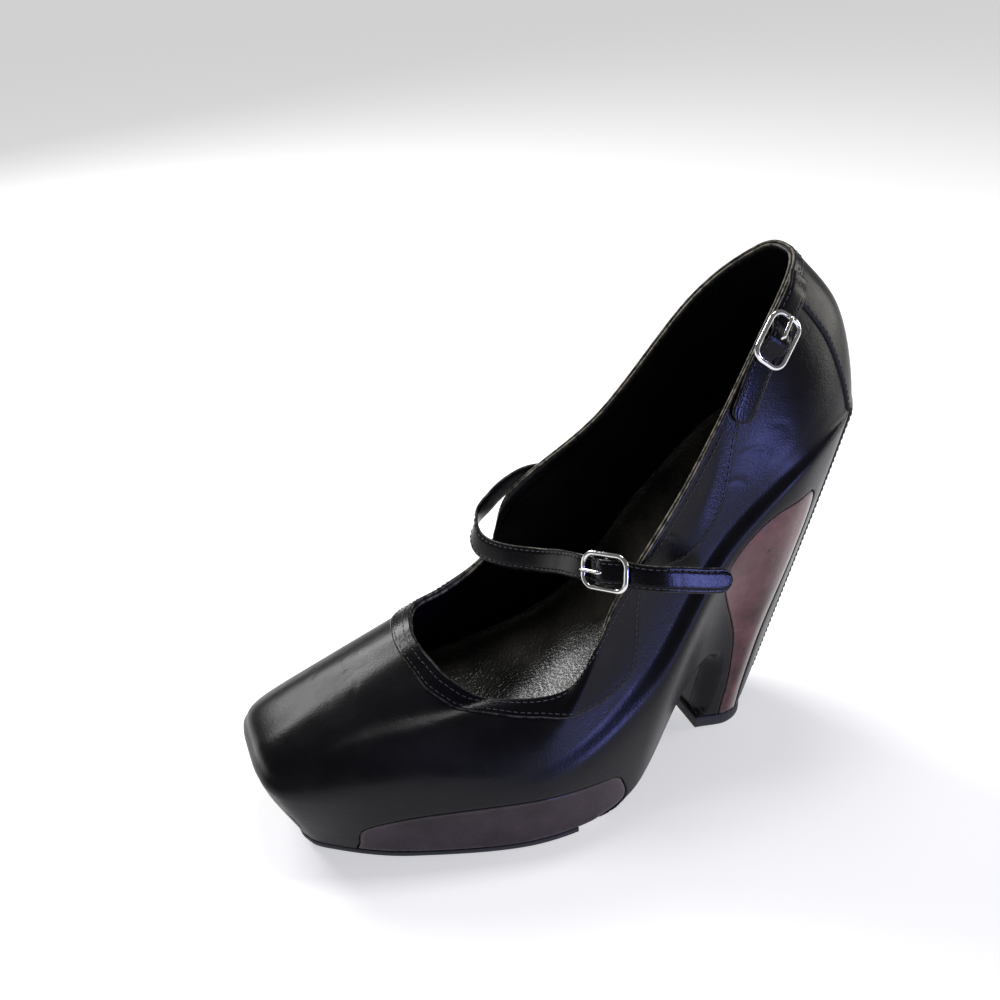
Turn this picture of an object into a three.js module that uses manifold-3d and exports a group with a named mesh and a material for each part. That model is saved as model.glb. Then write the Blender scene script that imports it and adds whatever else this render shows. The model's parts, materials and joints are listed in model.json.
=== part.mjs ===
// Platform shoe for the left foot, in millimetres: toe towards -Y, outer side towards +X, floor at Z = 0.
// One leather skin hangs from the collar over a cut-out wedge; the pieces meet GAP apart.
import * as THREE from 'three';
import Module from 'manifold-3d';
import { mergeVertices } from 'three/addons/utils/BufferGeometryUtils.js';

const wasm = await Module();
wasm.setup();

// The last and the platform under it
const LENGTH = 232;
const HALF_WIDTH = 46;
const PLATFORM = 24;
const SEAT = 118;
const COUNTER = 68;
const TOE_SPRING = 4;

// Thickness of each layer, and the clearance between two of them
const WALL = 1.8;
const OVERLAY = 1;
const INSOLE = 3;
const OUTSOLE = 2.1;
const TOP_LIFT = 5;
const GAP = 0.3;

// Straps and buckles
const STRAP_WIDTH = 9.6;
const STRAP_THICK = 1.6;
const BUCKLE_LENGTH = 17.5;
const BUCKLE_WIDTH = 14.6;
const BUCKLE_CORNER = 3.5;
const BUCKLE_PLAY = 0.5;
const BUCKLE_WIRE = 1.9;
const BUCKLE_BAR = 1.3;
const BAR_DROP = 0.9;
const PRONG_WIRE = 1.4;

// Rounding of the cut-out's edge, at its front and down the heel's breast
const ARCH_EDGE = 1.5;
const BREAST_ROUND = 7.5;

// How finely the curves are cut into faces
const STATION_STEPS = 3;
const LEVEL_STEPS = 3;
const ARCH_STEPS = 23;
const WIRE_SIDES = 6;
const CORNER_STEPS = 3;
const OUTLINE_STEPS = 32;
const MARKS_PER_ROW = 2;

const columns = (names, rows) =>
  rows.map((row) => Object.fromEntries(names.map((name, i) => [name, row[i]])));

// Five levels of the skin. Each has a row for the stations 0 (toe centre), 1 toe front, 2 toe corner,
// 3 behind it, 4 vamp, 5 ball, 6 waist, 7 shank, 8 heel side, 9 heel corner and 10 (heel centre).
// along is a share of LENGTH, lateral and medial are shares of HALF_WIDTH.

// The lower edge: spring is a share of TOE_SPRING, lift goes from 0 at the outsole to 1 at the top lift
const EDGE = columns(['along', 'lateral', 'medial', 'spring', 'lift'], [
  [0.060, 0.00, 0.00, 1.00, 0],
  [0.061, 0.22, 0.28, 0.95, 0],
  [0.068, 0.38, 0.44, 0.80, 0],
  [0.098, 0.52, 0.58, 0.40, 0],
  [0.210, 0.82, 0.80, 0.00, 0],
  [0.405, 1.12, 0.84, 0.00, 0],
  [0.570, 1.00, 0.74, 0.00, 0],
  [0.710, 0.48, 0.50, 0.00, 1],
  [0.810, 0.50, 0.48, 0.00, 1],
  [0.854, 0.34, 0.32, 0.00, 1],
  [0.868, 0.00, 0.00, 0.00, 1],
]);

// The feather line, where the last stands on the wedge: rise goes from 0 at PLATFORM to 1 at SEAT
const FEATHER = columns(['along', 'lateral', 'medial', 'rise'], [
  [0.018, 0.00, 0.00, 0.06],
  [0.020, 0.24, 0.30, 0.06],
  [0.032, 0.44, 0.48, 0.05],
  [0.072, 0.59, 0.62, 0.03],
  [0.205, 0.86, 0.83, 0.00],
  [0.415, 1.16, 0.84, 0.02],
  [0.600, 1.04, 0.68, 0.22],
  [0.745, 0.84, 0.60, 0.64],
  [0.885, 0.78, 0.62, 0.91],
  [0.980, 0.48, 0.42, 0.99],
  [1.008, 0.00, 0.00, 1.00],
]);

// The hollow above the feather line, then the shoulder of the upper: height is a share of COUNTER above it
const SWELL = columns(['along', 'lateral', 'medial', 'height'], [
  [0.018, 0.00, 0.00, 0.12],
  [0.020, 0.23, 0.29, 0.12],
  [0.032, 0.42, 0.46, 0.12],
  [0.074, 0.57, 0.60, 0.14],
  [0.205, 0.83, 0.81, 0.20],
  [0.410, 1.09, 0.82, 0.14],
  [0.590, 0.94, 0.66, 0.18],
  [0.735, 0.76, 0.60, 0.20],
  [0.885, 0.74, 0.60, 0.24],
  [0.995, 0.46, 0.42, 0.27],
  [1.026, 0.00, 0.00, 0.30],
]);
const SHOULDER = columns(['along', 'lateral', 'medial', 'height'], [
  [0.062, 0.00, 0.00, 0.26],
  [0.064, 0.19, 0.24, 0.26],
  [0.080, 0.35, 0.39, 0.26],
  [0.116, 0.46, 0.48, 0.29],
  [0.230, 0.68, 0.60, 0.38],
  [0.412, 1.01, 0.74, 0.26],
  [0.565, 0.87, 0.65, 0.36],
  [0.705, 0.70, 0.58, 0.38],
  [0.865, 0.59, 0.54, 0.52],
  [0.975, 0.32, 0.32, 0.66],
  [1.003, 0.00, 0.00, 0.70],
]);

// The topline, one line round throat and collar, with places and heights of its own on the medial side
const TOPLINE = columns(['along', 'lateral', 'height', 'medialAlong', 'medial', 'medialHeight'], [
  [0.293, 0.00, 0.54, 0.293, 0.00, 0.54],
  [0.295, 0.15, 0.53, 0.297, 0.14, 0.55],
  [0.303, 0.30, 0.515, 0.307, 0.30, 0.56],
  [0.320, 0.48, 0.49, 0.330, 0.46, 0.57],
  [0.372, 0.66, 0.44, 0.395, 0.66, 0.575],
  [0.486, 0.87, 0.475, 0.475, 0.745, 0.68],
  [0.560, 0.84, 0.64, 0.517, 0.72, 0.77],
  [0.690, 0.67, 0.555, 0.665, 0.58, 0.60],
  [0.820, 0.46, 0.80, 0.815, 0.46, 0.84],
  [0.900, 0.23, 0.98, 0.900, 0.24, 1.00],
  [0.920, 0.00, 1.03, 0.920, 0.00, 1.03],
]);
const HALF_STATIONS = 10;
const STATIONS = 2 * HALF_STATIONS;
const TOP_LEVEL = 4;

// The cut-out's line from the ball over the arch and down the breast: along of LENGTH, height of SEAT
const ARCH = columns(['along', 'height'], [
  [0.440, -0.04],
  [0.468, 0.000],
  [0.505, 0.007],
  [0.550, 0.022],
  [0.590, 0.050],
  [0.630, 0.110],
  [0.662, 0.175],
  [0.690, 0.228],
  [0.718, 0.278],
  [0.742, 0.318],
  [0.758, 0.325],
  [0.767, 0.290],
  [0.764, 0.200],
  [0.757, 0.100],
  [0.752, 0.000],
  [0.751, -0.04],
]);
const SOLE_END = 0.535;
const ARCH_MIDDLE = 0.68;

// Outlines of the inlaid plates, seen from the side: along of LENGTH, height of SEAT or of PLATFORM
const HEEL_PLATE = columns(['along', 'height'], [
  [0.905, 0.915],
  [0.865, 0.905],
  [0.827, 0.885],
  [0.782, 0.820],
  [0.752, 0.745],
  [0.749, 0.675],
  [0.764, 0.590],
  [0.780, 0.510],
  [0.794, 0.420],
  [0.800, 0.300],
  [0.800, 0.180],
  [0.795, 0.075],
  [0.797, -0.020],
  [0.825, -0.020],
  [0.834, 0.180],
  [0.854, 0.420],
  [0.892, 0.660],
  [0.913, 0.840],
]);
const BALL_PLATE = columns(['along', 'height'], [
  [0.140, 0.350],
  [0.150, 0.640],
  [0.200, 0.820],
  [0.280, 0.920],
  [0.360, 0.960],
  [0.433, 0.940],
  [0.500, 0.870],
  [0.537, 0.780],
  [0.550, 0.600],
  [0.560, 0.200],
  [0.555, -0.200],
  [0.300, -0.400],
  [0.150, -0.200],
]);

// Lower seam of the collar band, as a level of the skin at stations all the way round
const COLLAR_SEAM = columns(['station', 'level'], [
  [0, 3.87],
  [2, 3.86],
  [3.4, 3.83],
  [4.2, 3.64],
  [4.9, 3.50],
  [5.4, 2.90],
  [5.7, 2.35],
  [5.95, 2.25],
  [6.15, 2.70],
  [6.35, 3.55],
  [6.55, 3.20],
  [6.75, 2.60],
  [7, 2.38],
  [7.25, 2.66],
  [7.55, 3.50],
  [8.2, 3.76],
  [10, 3.78],
  [11.8, 3.76],
  [12.8, 3.45],
  [13.6, 2.95],
  [14.4, 2.90],
  [15.4, 3.35],
  [16.4, 3.76],
  [18, 3.85],
  [20, 3.87],
]);

// Half of the strip down the heel's back, as the station of its edge at each level
const BACK_STRIP = columns(['level', 'station'], [
  [0, 8.95],
  [1, 8.92],
  [2, 8.82],
  [2.6, 8.72],
  [3.2, 8.68],
  [4, 8.68],
]);

// Middle line of the instep strap, from its medial root round to its free end on the lateral side: along of
// LENGTH, across of HALF_WIDTH, height of COUNTER above the foot bed there, narrow is the share of its width
const INSTEP_STRAP = columns(['along', 'across', 'height', 'narrow'], [
  [0.600, -0.728, 0.849, 1],
  [0.560, -0.766, 0.931, 1],
  [0.522, -0.786, 0.951, 1],
  [0.490, -0.792, 0.917, 1],
  [0.463, -0.775, 0.856, 1],
  [0.448, -0.674, 0.806, 1],
  [0.450, -0.520, 0.777, 1],
  [0.470, -0.300, 0.769, 1],
  [0.508, -0.040, 0.758, 1],
  [0.525, 0.190, 0.795, 1],
  [0.534, 0.440, 0.847, 1],
  [0.549, 0.583, 0.844, 1],
  [0.572, 0.775, 0.827, 1],
  [0.590, 0.912, 0.800, 1],
  [0.613, 0.992, 0.737, 1],
  [0.645, 1.030, 0.599, 1],
  [0.680, 1.062, 0.417, 1],
  [0.707, 1.082, 0.280, 1],
  [0.717, 1.088, 0.233, 0.84],
  [0.722, 1.091, 0.210, 0.35],
]);
const STRAP_LEAN = 20;
const INSTEP_BUCKLE_AT = 11.5;

// Middle line of the heel strap over the lateral side of the collar, as places on the skin
const HEEL_STRAP = columns(['station', 'level', 'narrow'], [
  [8.98, 3.86, 1],
  [8.76, 3.85, 1],
  [8.58, 3.84, 1],
  [8.30, 3.82, 1],
  [8.12, 3.81, 1],
  [7.97, 3.80, 1],
  [7.84, 3.77, 1],
  [7.74, 3.72, 1],
  [7.64, 3.66, 1],
  [7.57, 3.61, 0.84],
  [7.54, 3.59, 0.35],
]);
const HEEL_BUCKLE_AT = 4;

const LEATHER = { color: 0x17181b, roughness: 0.42, metalness: 0 };
const LINING = { color: 0x0d0d0f, roughness: 0.3, metalness: 0 };
const RUBBER = { color: 0x111113, roughness: 0.7, metalness: 0 };
const GLOSS = { color: 0x6a3540, roughness: 0.18, metalness: 0 };
const CORE = { color: 0x8a8378, roughness: 0.8, metalness: 0 };
const CHROME = { color: 0xd8d8da, roughness: 0.12, metalness: 1 };

const smooth = (points, closed) => new THREE.CatmullRomCurve3(points, closed, 'catmullrom', 0.5);
const steps = (from, to, count) => Array.from({ length: count + 1 }, (_, i) => from + ((to - from) * i) / count);

// A table's value at any place between its rows
function lookUp(rows, key, value, at) {
  const last = rows.length - 1;
  let i = rows.findIndex((row) => row[key] > at) - 1;
  if (i < 0) i = at < rows[0][key] ? 0 : last - 1;
  const slope = (j) => {
    const a = rows[Math.max(j - 1, 0)];
    const b = rows[Math.min(j + 1, last)];
    return (b[value] - a[value]) / (b[key] - a[key]);
  };
  const span = rows[i + 1][key] - rows[i][key];
  const t = THREE.MathUtils.clamp((at - rows[i][key]) / span, 0, 1);
  const start = rows[i][value] * (2 * t ** 3 - 3 * t ** 2 + 1) + rows[i + 1][value] * (3 * t ** 2 - 2 * t ** 3);
  return start + span * (slope(i) * (t ** 3 - 2 * t ** 2 + t) + slope(i + 1) * (t ** 3 - t ** 2));
}

// One level of the skin as a closed curve of 20 stations: lateral side first, then the medial one
function ring(rows, place) {
  const lateral = rows.map((row, i) => place(row, i, false));
  const medial = rows.slice(1, -1).map((row, i) => place(row, i + 1, true)).reverse();
  return smooth([...lateral, ...medial], true);
}
const across = (row, medial) => (medial ? -row.medial : row.lateral) * HALF_WIDTH;
const featherHeight = (i) => PLATFORM + FEATHER[i].rise * (SEAT - PLATFORM);
const above = (i, height) => featherHeight(i) + height * COUNTER;
const edgeHeight = (row) => GAP + TOE_SPRING * row.spring + THREE.MathUtils.lerp(OUTSOLE, TOP_LIFT, row.lift);
const level = (row, i, medial) =>
  new THREE.Vector3(across(row, medial), row.along * LENGTH, above(i, row.height));
const RINGS = [
  ring(EDGE, (row, i, medial) => new THREE.Vector3(across(row, medial), row.along * LENGTH, edgeHeight(row))),
  ring(FEATHER, (row, i, medial) => new THREE.Vector3(across(row, medial), row.along * LENGTH, featherHeight(i))),
  ring(SWELL, level),
  ring(SHOULDER, level),
  ring(TOPLINE, (row, i, medial) => new THREE.Vector3(
    across(row, medial),
    (medial ? row.medialAlong : row.along) * LENGTH,
    above(i, medial ? row.medialHeight : row.height),
  )),
];

// Outer face of the skin at a station (0 to 20, round the shoe) and a level (0 to 4, edge to topline)
const turn = (station) => THREE.MathUtils.euclideanModulo(station, STATIONS) / STATIONS;
function skin(station, at) {
  const spoke = smooth(RINGS.map((curve) => curve.getPoint(turn(station))), false);
  return spoke.getPoint(THREE.MathUtils.clamp(at, 0, TOP_LEVEL) / TOP_LEVEL);
}
function outward(station, at) {
  const step = 0.02;
  const low = Math.max(at - step, 0);
  const high = Math.min(at + step, TOP_LEVEL);
  const round = skin(station + step, at).sub(skin(station - step, at));
  return round.cross(skin(station, high).sub(skin(station, low))).normalize();
}

// A point off the skin; the skin's lower edge stays in its own plane
function offSkin(station, at, distance) {
  const normal = outward(station, at);
  if (at <= 0) normal.setZ(0).normalize();
  return skin(station, at).addScaledVector(normal, distance);
}

// Closed body from an array of rings of points, each joined to the next; loop joins the last to the first,
// otherwise both ends get a cap that runs across the ring in rungs from its first point. From the ring
// numbered back on the faces are split the other way, so that the way back matches the way out.
function loft(rings, loop, back = rings.length) {
  const count = rings[0].length;
  const index = [];
  const spans = loop ? rings.length : rings.length - 1;
  for (let r = 0; r < spans; r++) {
    const low = r * count;
    const high = ((r + 1) % rings.length) * count;
    for (let i = 0; i < count; i++) {
      const j = (i + 1) % count;
      const split = r < back ? [low + i, high + j] : [low + j, high + i];
      index.push(low + i, low + j, split[1], split[0], high + j, high + i);
    }
  }
  if (!loop) {
    const top = (rings.length - 1) * count;
    for (let i = 0; i < count / 2; i++) {
      const [near, nearNext] = [i, i + 1];
      const [far, farNext] = [(count - i) % count, count - i - 1];
      if (near !== far) index.push(far, nearNext, near, top + near, top + nearNext, top + far);
      if (nearNext !== farNext) index.push(far, farNext, nearNext, top + nearNext, top + farNext, top + far);
    }
  }
  const geometry = new THREE.BufferGeometry();
  geometry.setAttribute('position', new THREE.Float32BufferAttribute(rings.flat().flatMap((p) => p.toArray()), 3));
  geometry.setIndex(index);
  return geometry;
}

// three.js geometry to a manifold-3d solid and back
function solid(geometry) {
  geometry.deleteAttribute('normal');
  geometry.deleteAttribute('uv');
  const merged = mergeVertices(geometry, 1e-4);
  const body = new wasm.Manifold(new wasm.Mesh({
    numProp: 3,
    vertProperties: new Float32Array(merged.attributes.position.array),
    triVerts: new Uint32Array(merged.index.array),
  }));
  return body;
}
function geometryOf(body) {
  const { vertProperties, triVerts } = body.getMesh();
  const geometry = new THREE.BufferGeometry();
  geometry.setAttribute('position', new THREE.BufferAttribute(vertProperties, 3));
  geometry.setIndex(new THREE.BufferAttribute(triVerts, 1));
  return geometry;
}

// Level values of the skin's rows, from one level to another
const levels = (from, to) => steps(from, to, Math.round((to - from) * LEVEL_STEPS));
const stations = steps(0, STATIONS, STATIONS * STATION_STEPS).slice(0, -1);
const row = (at, distance) => stations.map((station) => offSkin(station, at, distance));

// Everything inside the skin, up to a level
const filled = (distance, top) => solid(loft(levels(0, top).map((at) => row(at, distance)), false));

// A side outline of [along, height] points in mm, pushed through the shoe from x = from to x = to
function prism(outline, from, to) {
  const shape = new THREE.Shape(outline.map(([y, z]) => new THREE.Vector2(y, z)));
  const geometry = new THREE.ExtrudeGeometry(shape, { depth: to - from, bevelEnabled: false });
  const turned = new THREE.Matrix4().makeBasis(
    new THREE.Vector3(0, 1, 0),
    new THREE.Vector3(0, 0, 1),
    new THREE.Vector3(1, 0, 0),
  );
  return solid(geometry.applyMatrix4(turned).translate(from, 0, 0));
}

// Smooth closed outline through a table, moved outwards by grow
function outline(rows, heightOf, grow) {
  const curve = smooth(rows.map((r) => new THREE.Vector3(r.along * LENGTH, r.height * heightOf, 0)), true);
  const marks = steps(0, 1, OUTLINE_STEPS).slice(0, -1);
  const out = grow * Math.sign(THREE.ShapeUtils.area(marks.map((t) => curve.getPoint(t))));
  return marks.map((t) => {
    const point = curve.getPoint(t);
    const tangent = curve.getTangent(t);
    return [point.x + tangent.y * out, point.y - tangent.x * out];
  });
}

// Half width of the outer skin at a place seen from the side
const sideSamples = steps(0, STATIONS, 160).flatMap((station) =>
  steps(0, 2, 20).map((at) => skin(station, at)));
function halfWidth(y, z, side) {
  const distance = (p) => (p.y - y) ** 2 + (p.z - z) ** 2;
  const sided = sideSamples.filter((p) => p.x * side > 0);
  return Math.abs(sided.reduce((best, p) => (distance(p) < distance(best) ? p : best)).x);
}

// The cut-out under the arch, enlarged by grow; its line swells at both sides, which rounds the edges
function archCut(grow) {
  const line = smooth(ARCH.map((r) => new THREE.Vector3(r.along * LENGTH, r.height * SEAT, 0)), false);
  const marks = steps(0, 1, ARCH_STEPS).map((t) => {
    const point = line.getPoint(t);
    const tangent = line.getTangent(t);
    const down = THREE.MathUtils.smoothstep(t, 0.45, 0.8);
    return {
      point,
      normal: new THREE.Vector2(-tangent.y, tangent.x),
      radius: THREE.MathUtils.lerp(ARCH_EDGE, BREAST_ROUND, down),
      half: [-1, 1].map((side) => halfWidth(point.x, Math.max(point.y, TOP_LIFT), side)),
    };
  });
  const angles = [0, 25, 50, 70, 90].map(THREE.MathUtils.degToRad);
  const column = (side, angle, beyond) => marks.map(({ point, normal, radius, half }) => {
    const edge = half[side > 0 ? 1 : 0];
    const swell = grow + radius * (1 - Math.cos(angle));
    const x = side * (edge - radius * (1 - Math.sin(angle)) + beyond);
    return new THREE.Vector3(x, point.x + normal.x * swell, point.y + normal.y * swell);
  });
  const far = HALF_WIDTH / 2;
  const rings = [
    column(-1, angles.at(-1), far),
    ...angles.toReversed().map((angle) => column(-1, angle, 0)),
    ...angles.map((angle) => column(1, angle, 0)),
    column(1, angles.at(-1), far),
  ];
  return solid(loft(rings.map((points) => points.toReversed()), false));
}

// Foot bed, the top of the wedge, as a side line raised by rise
const bedLine = (rise) => steps(0, HALF_STATIONS, HALF_STATIONS * STATION_STEPS).map((station) => {
  const point = RINGS[1].getPoint(station / STATIONS);
  return [point.y, point.z + rise];
});
const FAR = 2 * LENGTH;
function slab(low, high) {
  const under = bedLine(low);
  const over = bedLine(high);
  const ends = (line, y, at) => [y, line.at(at)[1]];
  return prism([
    ends(under, -LENGTH, 0), ...under, ends(under, FAR, -1),
    ends(over, FAR, -1), ...over.toReversed(), ends(over, -LENGTH, 0),
  ], -LENGTH, LENGTH);
}

const DEEP = 2 * SEAT;
const OUTER_FACE = GAP + OVERLAY;
const PAST = 3 * OUTER_FACE;
const SEAM_GAP = 0.03;
const BAND_FROM = 5 / 3;
const leather = shell(-WALL, 0, 0);
const inside = filled(-WALL - GAP, 2);

function plateTool(rows, heightOf, side, grow) {
  const line = outline(rows, heightOf, grow);
  return side > 0 ? prism(line, 0, LENGTH) : prism(line, -LENGTH, 0);
}
const PLATES = {
  heel_plate_lateral: [HEEL_PLATE, SEAT, 1],
  heel_plate_medial: [HEEL_PLATE, SEAT, -1],
  ball_plate_lateral: [BALL_PLATE, PLATFORM, 1],
  ball_plate_medial: [BALL_PLATE, PLATFORM, -1],
};
const plate = (name) => leather.intersect(plateTool(...PLATES[name], 0));

function makeUpper() {
  return Object.values(PLATES).reduce(
    (body, tool) => body.subtract(plateTool(...tool, GAP)),
    leather.subtract(archCut(0)),
  );
}

const makeWedge = () => inside.intersect(slab(-DEEP, 0)).subtract(archCut(WALL + GAP));
const makeInsole = () => inside.intersect(slab(GAP, GAP + INSOLE));
const makeArchCover = () => inside.intersect(archCut(WALL)).subtract(archCut(0));

// A layer between the floor and the skin's lower edge, for the stretch from one y to another. Where it is
// thicker than the room for it, it ends at the floor.
function underLayer(thickness, from, to) {
  const edge = (drop) => stations.map((station) => {
    const point = RINGS[0].getPoint(turn(station));
    return point.setZ(Math.max(point.z - GAP - drop, 0));
  });
  const body = solid(loft([edge(thickness), edge(0)], false));
  const stretch = prism([[from, -SEAT], [to, -SEAT], [to, SEAT], [from, SEAT]], -LENGTH, LENGTH);
  return body.intersect(stretch).subtract(archCut(0));
}
const makeOutsole = () => underLayer(OUTSOLE, -LENGTH, SOLE_END * LENGTH);
const makeTopLift = () => underLayer(2 * TOP_LIFT, ARCH_MIDDLE * LENGTH, FAR);

// Overlays are cut from a shell that lies GAP off the skin and is OVERLAY thick, with the upper's own rows;
// the tools that cut them reach well past both of its faces
function shell(low, high, from) {
  const out = levels(from, TOP_LEVEL);
  const rings = [...out.map((at) => row(at, high)), ...out.toReversed().map((at) => row(at, low))];
  return solid(loft(rings, true, out.length));
}
const overlay = shell(GAP, OUTER_FACE, 0);
const seamAt = (station) => lookUp(COLLAR_SEAM, 'station', 'level', station);

// Everything round the skin from its lower edge up to the band's seam, lowered by a share of a level
function underSeam(lowered) {
  const rise = steps(0, 1, TOP_LEVEL * LEVEL_STEPS);
  const line = (share, distance) =>
    stations.map((station) => offSkin(station, share * (seamAt(station) - lowered), distance));
  return solid(loft([
    ...rise.map((share) => line(share, PAST)),
    ...rise.toReversed().map((share) => line(share, -PAST)),
  ], true));
}
function makeCollarBand() {
  return shell(GAP, OUTER_FACE, BAND_FROM).subtract(underSeam(0));
}
function makeBackStrip() {
  const spread = steps(-1, 1, 2 * STATION_STEPS);
  const place = (share, side, distance) => {
    const half = HALF_STATIONS - lookUp(BACK_STRIP, 'level', 'station', share * TOP_LEVEL);
    return offSkin(HALF_STATIONS + side * half, share * TOP_LEVEL, distance);
  };
  const tool = solid(loft(steps(0, 1, 3 * LEVEL_STEPS).map((share) => [
    ...spread.map((side) => place(share, side, PAST)),
    ...spread.toReversed().map((side) => place(share, side, -PAST)),
  ]), false));
  return overlay.intersect(tool).intersect(underSeam(SEAM_GAP));
}

// A strap lies under both ends of its buckle's frame and rises over the bar in the frame's middle
const FRAME_OVER = STRAP_THICK / 2 + BUCKLE_PLAY + BUCKLE_WIRE / 2;
const STRAP_HUMP = FRAME_OVER - BAR_DROP + BUCKLE_BAR / 2 + BUCKLE_PLAY + STRAP_THICK / 2;

// Marks along a table's curve: where the middle of a strap runs, and which way it is wide and faces
function strapMarks(rows, pointOf, facingOf) {
  const curve = smooth(rows.map(pointOf), false);
  const last = rows.length - 1;
  return steps(0, last, last * MARKS_PER_ROW).map((at) => {
    const i = Math.min(Math.floor(at), last - 1);
    const point = curve.getPoint(at / last);
    const tangent = curve.getTangent(at / last);
    const facing = facingOf(point, tangent, at).projectOnPlane(tangent).normalize();
    const wide = facing.clone().cross(tangent).normalize();
    const narrow = THREE.MathUtils.lerp(rows[i].narrow, rows[i + 1].narrow, at - i);
    return { at, point, tangent, facing, wide, narrow };
  });
}
const markAt = (marks, at) =>
  marks.reduce((best, mark) => (Math.abs(mark.at - at) < Math.abs(best.at - at) ? mark : best));
function overBar(marks, buckle) {
  const reach = BUCKLE_LENGTH / 2 - BUCKLE_WIRE;
  return marks.map((mark) => {
    const away = Math.min(mark.point.distanceTo(buckle.point) / reach, 1);
    const lift = STRAP_HUMP * Math.cos((away * Math.PI) / 2) ** 2;
    return { ...mark, point: mark.point.clone().addScaledVector(mark.facing, lift) };
  });
}

// Flat strap through its marks, with its long edges rounded off
function strap(marks, width, thick) {
  return solid(loft(marks.map(({ point, facing, wide, narrow }) => {
    const half = (width / 2) * narrow;
    const flat = half - thick / 2;
    const corner = (w, n) => point.clone().addScaledVector(wide, w).addScaledVector(facing, n);
    return [
      corner(half, -thick / 4), corner(half, thick / 4), corner(flat, thick / 2), corner(-flat, thick / 2),
      corner(-half, thick / 4), corner(-half, -thick / 4), corner(-flat, -thick / 2), corner(flat, -thick / 2),
    ];
  }), false));
}

// Round wire through points that lie in a plane; a closed one ends where it starts
function wire(points, plane, thick, closed) {
  const rings = points.map((point, i) => {
    const next = points[closed ? (i + 1) % points.length : Math.min(i + 1, points.length - 1)];
    const before = points.at(closed || i > 0 ? i - 1 : 0);
    const tangent = next.clone().sub(before).normalize();
    const side = tangent.clone().cross(plane).normalize();
    return Array.from({ length: WIRE_SIDES }, (_, k) => {
      const angle = (2 * Math.PI * k) / WIRE_SIDES;
      return point.clone()
        .addScaledVector(plane, Math.cos(angle) * thick / 2)
        .addScaledVector(side, Math.sin(angle) * thick / 2);
    });
  });
  return solid(loft(rings, closed));
}

// A place in a buckle's frame at a mark of its strap: along the strap, across it and above it
const buckleHalf = (BUCKLE_LENGTH - BUCKLE_WIRE) / 2;
const buckleSide = (BUCKLE_WIDTH - BUCKLE_WIRE) / 2;
const inBuckle = ({ point, tangent, facing, wide }) => (along, across, above) =>
  point.clone()
    .addScaledVector(tangent, along)
    .addScaledVector(wide, across)
    .addScaledVector(facing, FRAME_OVER + above);

// The frame with its middle bar, which crosses a little lower
function makeBuckle(mark) {
  const place = inBuckle(mark);
  const corners = [[1, 1], [-1, 1], [-1, -1], [1, -1]];
  const points = corners.flatMap(([l, w], quarter) => steps(0, 90, CORNER_STEPS).map((angle) => {
    const turned = THREE.MathUtils.degToRad(angle + 90 * quarter);
    return place(
      l * (buckleHalf - BUCKLE_CORNER) + BUCKLE_CORNER * Math.cos(turned),
      w * (buckleSide - BUCKLE_CORNER) + BUCKLE_CORNER * Math.sin(turned),
      0,
    );
  }));
  const barEnds = [-buckleSide, buckleSide].map((across) => place(0, across, -BAR_DROP));
  const bar = wire(barEnds, mark.facing, BUCKLE_BAR, false);
  return wire(points, mark.facing, BUCKLE_WIRE, true).add(bar);
}

// The prong comes up through the strap's hole over the bar and lies across the end of the frame
function makeProng(mark) {
  const place = inBuckle(mark);
  const clear = GAP + PRONG_WIRE / 2;
  const overStrap = STRAP_HUMP + STRAP_THICK / 2 - FRAME_OVER + clear;
  const overEnd = BUCKLE_WIRE / 2 + clear;
  const line = [place(-buckleHalf - BUCKLE_WIRE / 4, 0, overEnd), place(0, 0, overStrap)];
  return wire(line, mark.facing, PRONG_WIRE, false);
}

const upright = new THREE.Vector3(0, 0, 1);
const bedAt = (along) => PLATFORM + lookUp(FEATHER, 'along', 'rise', along) * (SEAT - PLATFORM);
const instepMarks = strapMarks(
  INSTEP_STRAP,
  (r) => new THREE.Vector3(r.across * HALF_WIDTH, r.along * LENGTH, bedAt(r.along) + r.height * COUNTER),
  (point, tangent) => tangent.clone().cross(upright).normalize()
    .applyAxisAngle(tangent, THREE.MathUtils.degToRad(-STRAP_LEAN)),
);
const overBand = OUTER_FACE + GAP + STRAP_THICK / 2;
const heelMarks = strapMarks(
  HEEL_STRAP,
  (r) => offSkin(r.station, r.level, overBand),
  (point, tangent, at) => {
    const i = Math.round(at);
    return outward(HEEL_STRAP[i].station, HEEL_STRAP[i].level);
  },
);
const instepBuckle = markAt(instepMarks, INSTEP_BUCKLE_AT);
const heelBuckle = markAt(heelMarks, HEEL_BUCKLE_AT);

// Each piece as a mesh of its own
function piece(name, body, look) {
  const mesh = new THREE.Mesh(geometryOf(body), new THREE.MeshStandardMaterial(look));
  mesh.name = name;
  return mesh;
}
const shoe = new THREE.Group();
shoe.add(
  piece('upper', makeUpper(), LEATHER),
  piece('wedge', makeWedge(), CORE),
  piece('insole', makeInsole(), LINING),
  piece('outsole', makeOutsole(), RUBBER),
  piece('top_lift', makeTopLift(), RUBBER),
  piece('arch_cover', makeArchCover(), LEATHER),
  piece('collar_band', makeCollarBand(), LEATHER),
  piece('back_strip', makeBackStrip(), LEATHER),
  ...Object.keys(PLATES).map((name) => piece(name, plate(name), GLOSS)),
  piece('instep_strap', strap(overBar(instepMarks, instepBuckle), STRAP_WIDTH, STRAP_THICK), LEATHER),
  piece('instep_buckle', makeBuckle(instepBuckle), CHROME),
  piece('instep_prong', makeProng(instepBuckle), CHROME),
  piece('heel_strap', strap(overBar(heelMarks, heelBuckle), STRAP_WIDTH, STRAP_THICK), LEATHER),
  piece('heel_buckle', makeBuckle(heelBuckle), CHROME),
  piece('heel_prong', makeProng(heelBuckle), CHROME),
);

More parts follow.
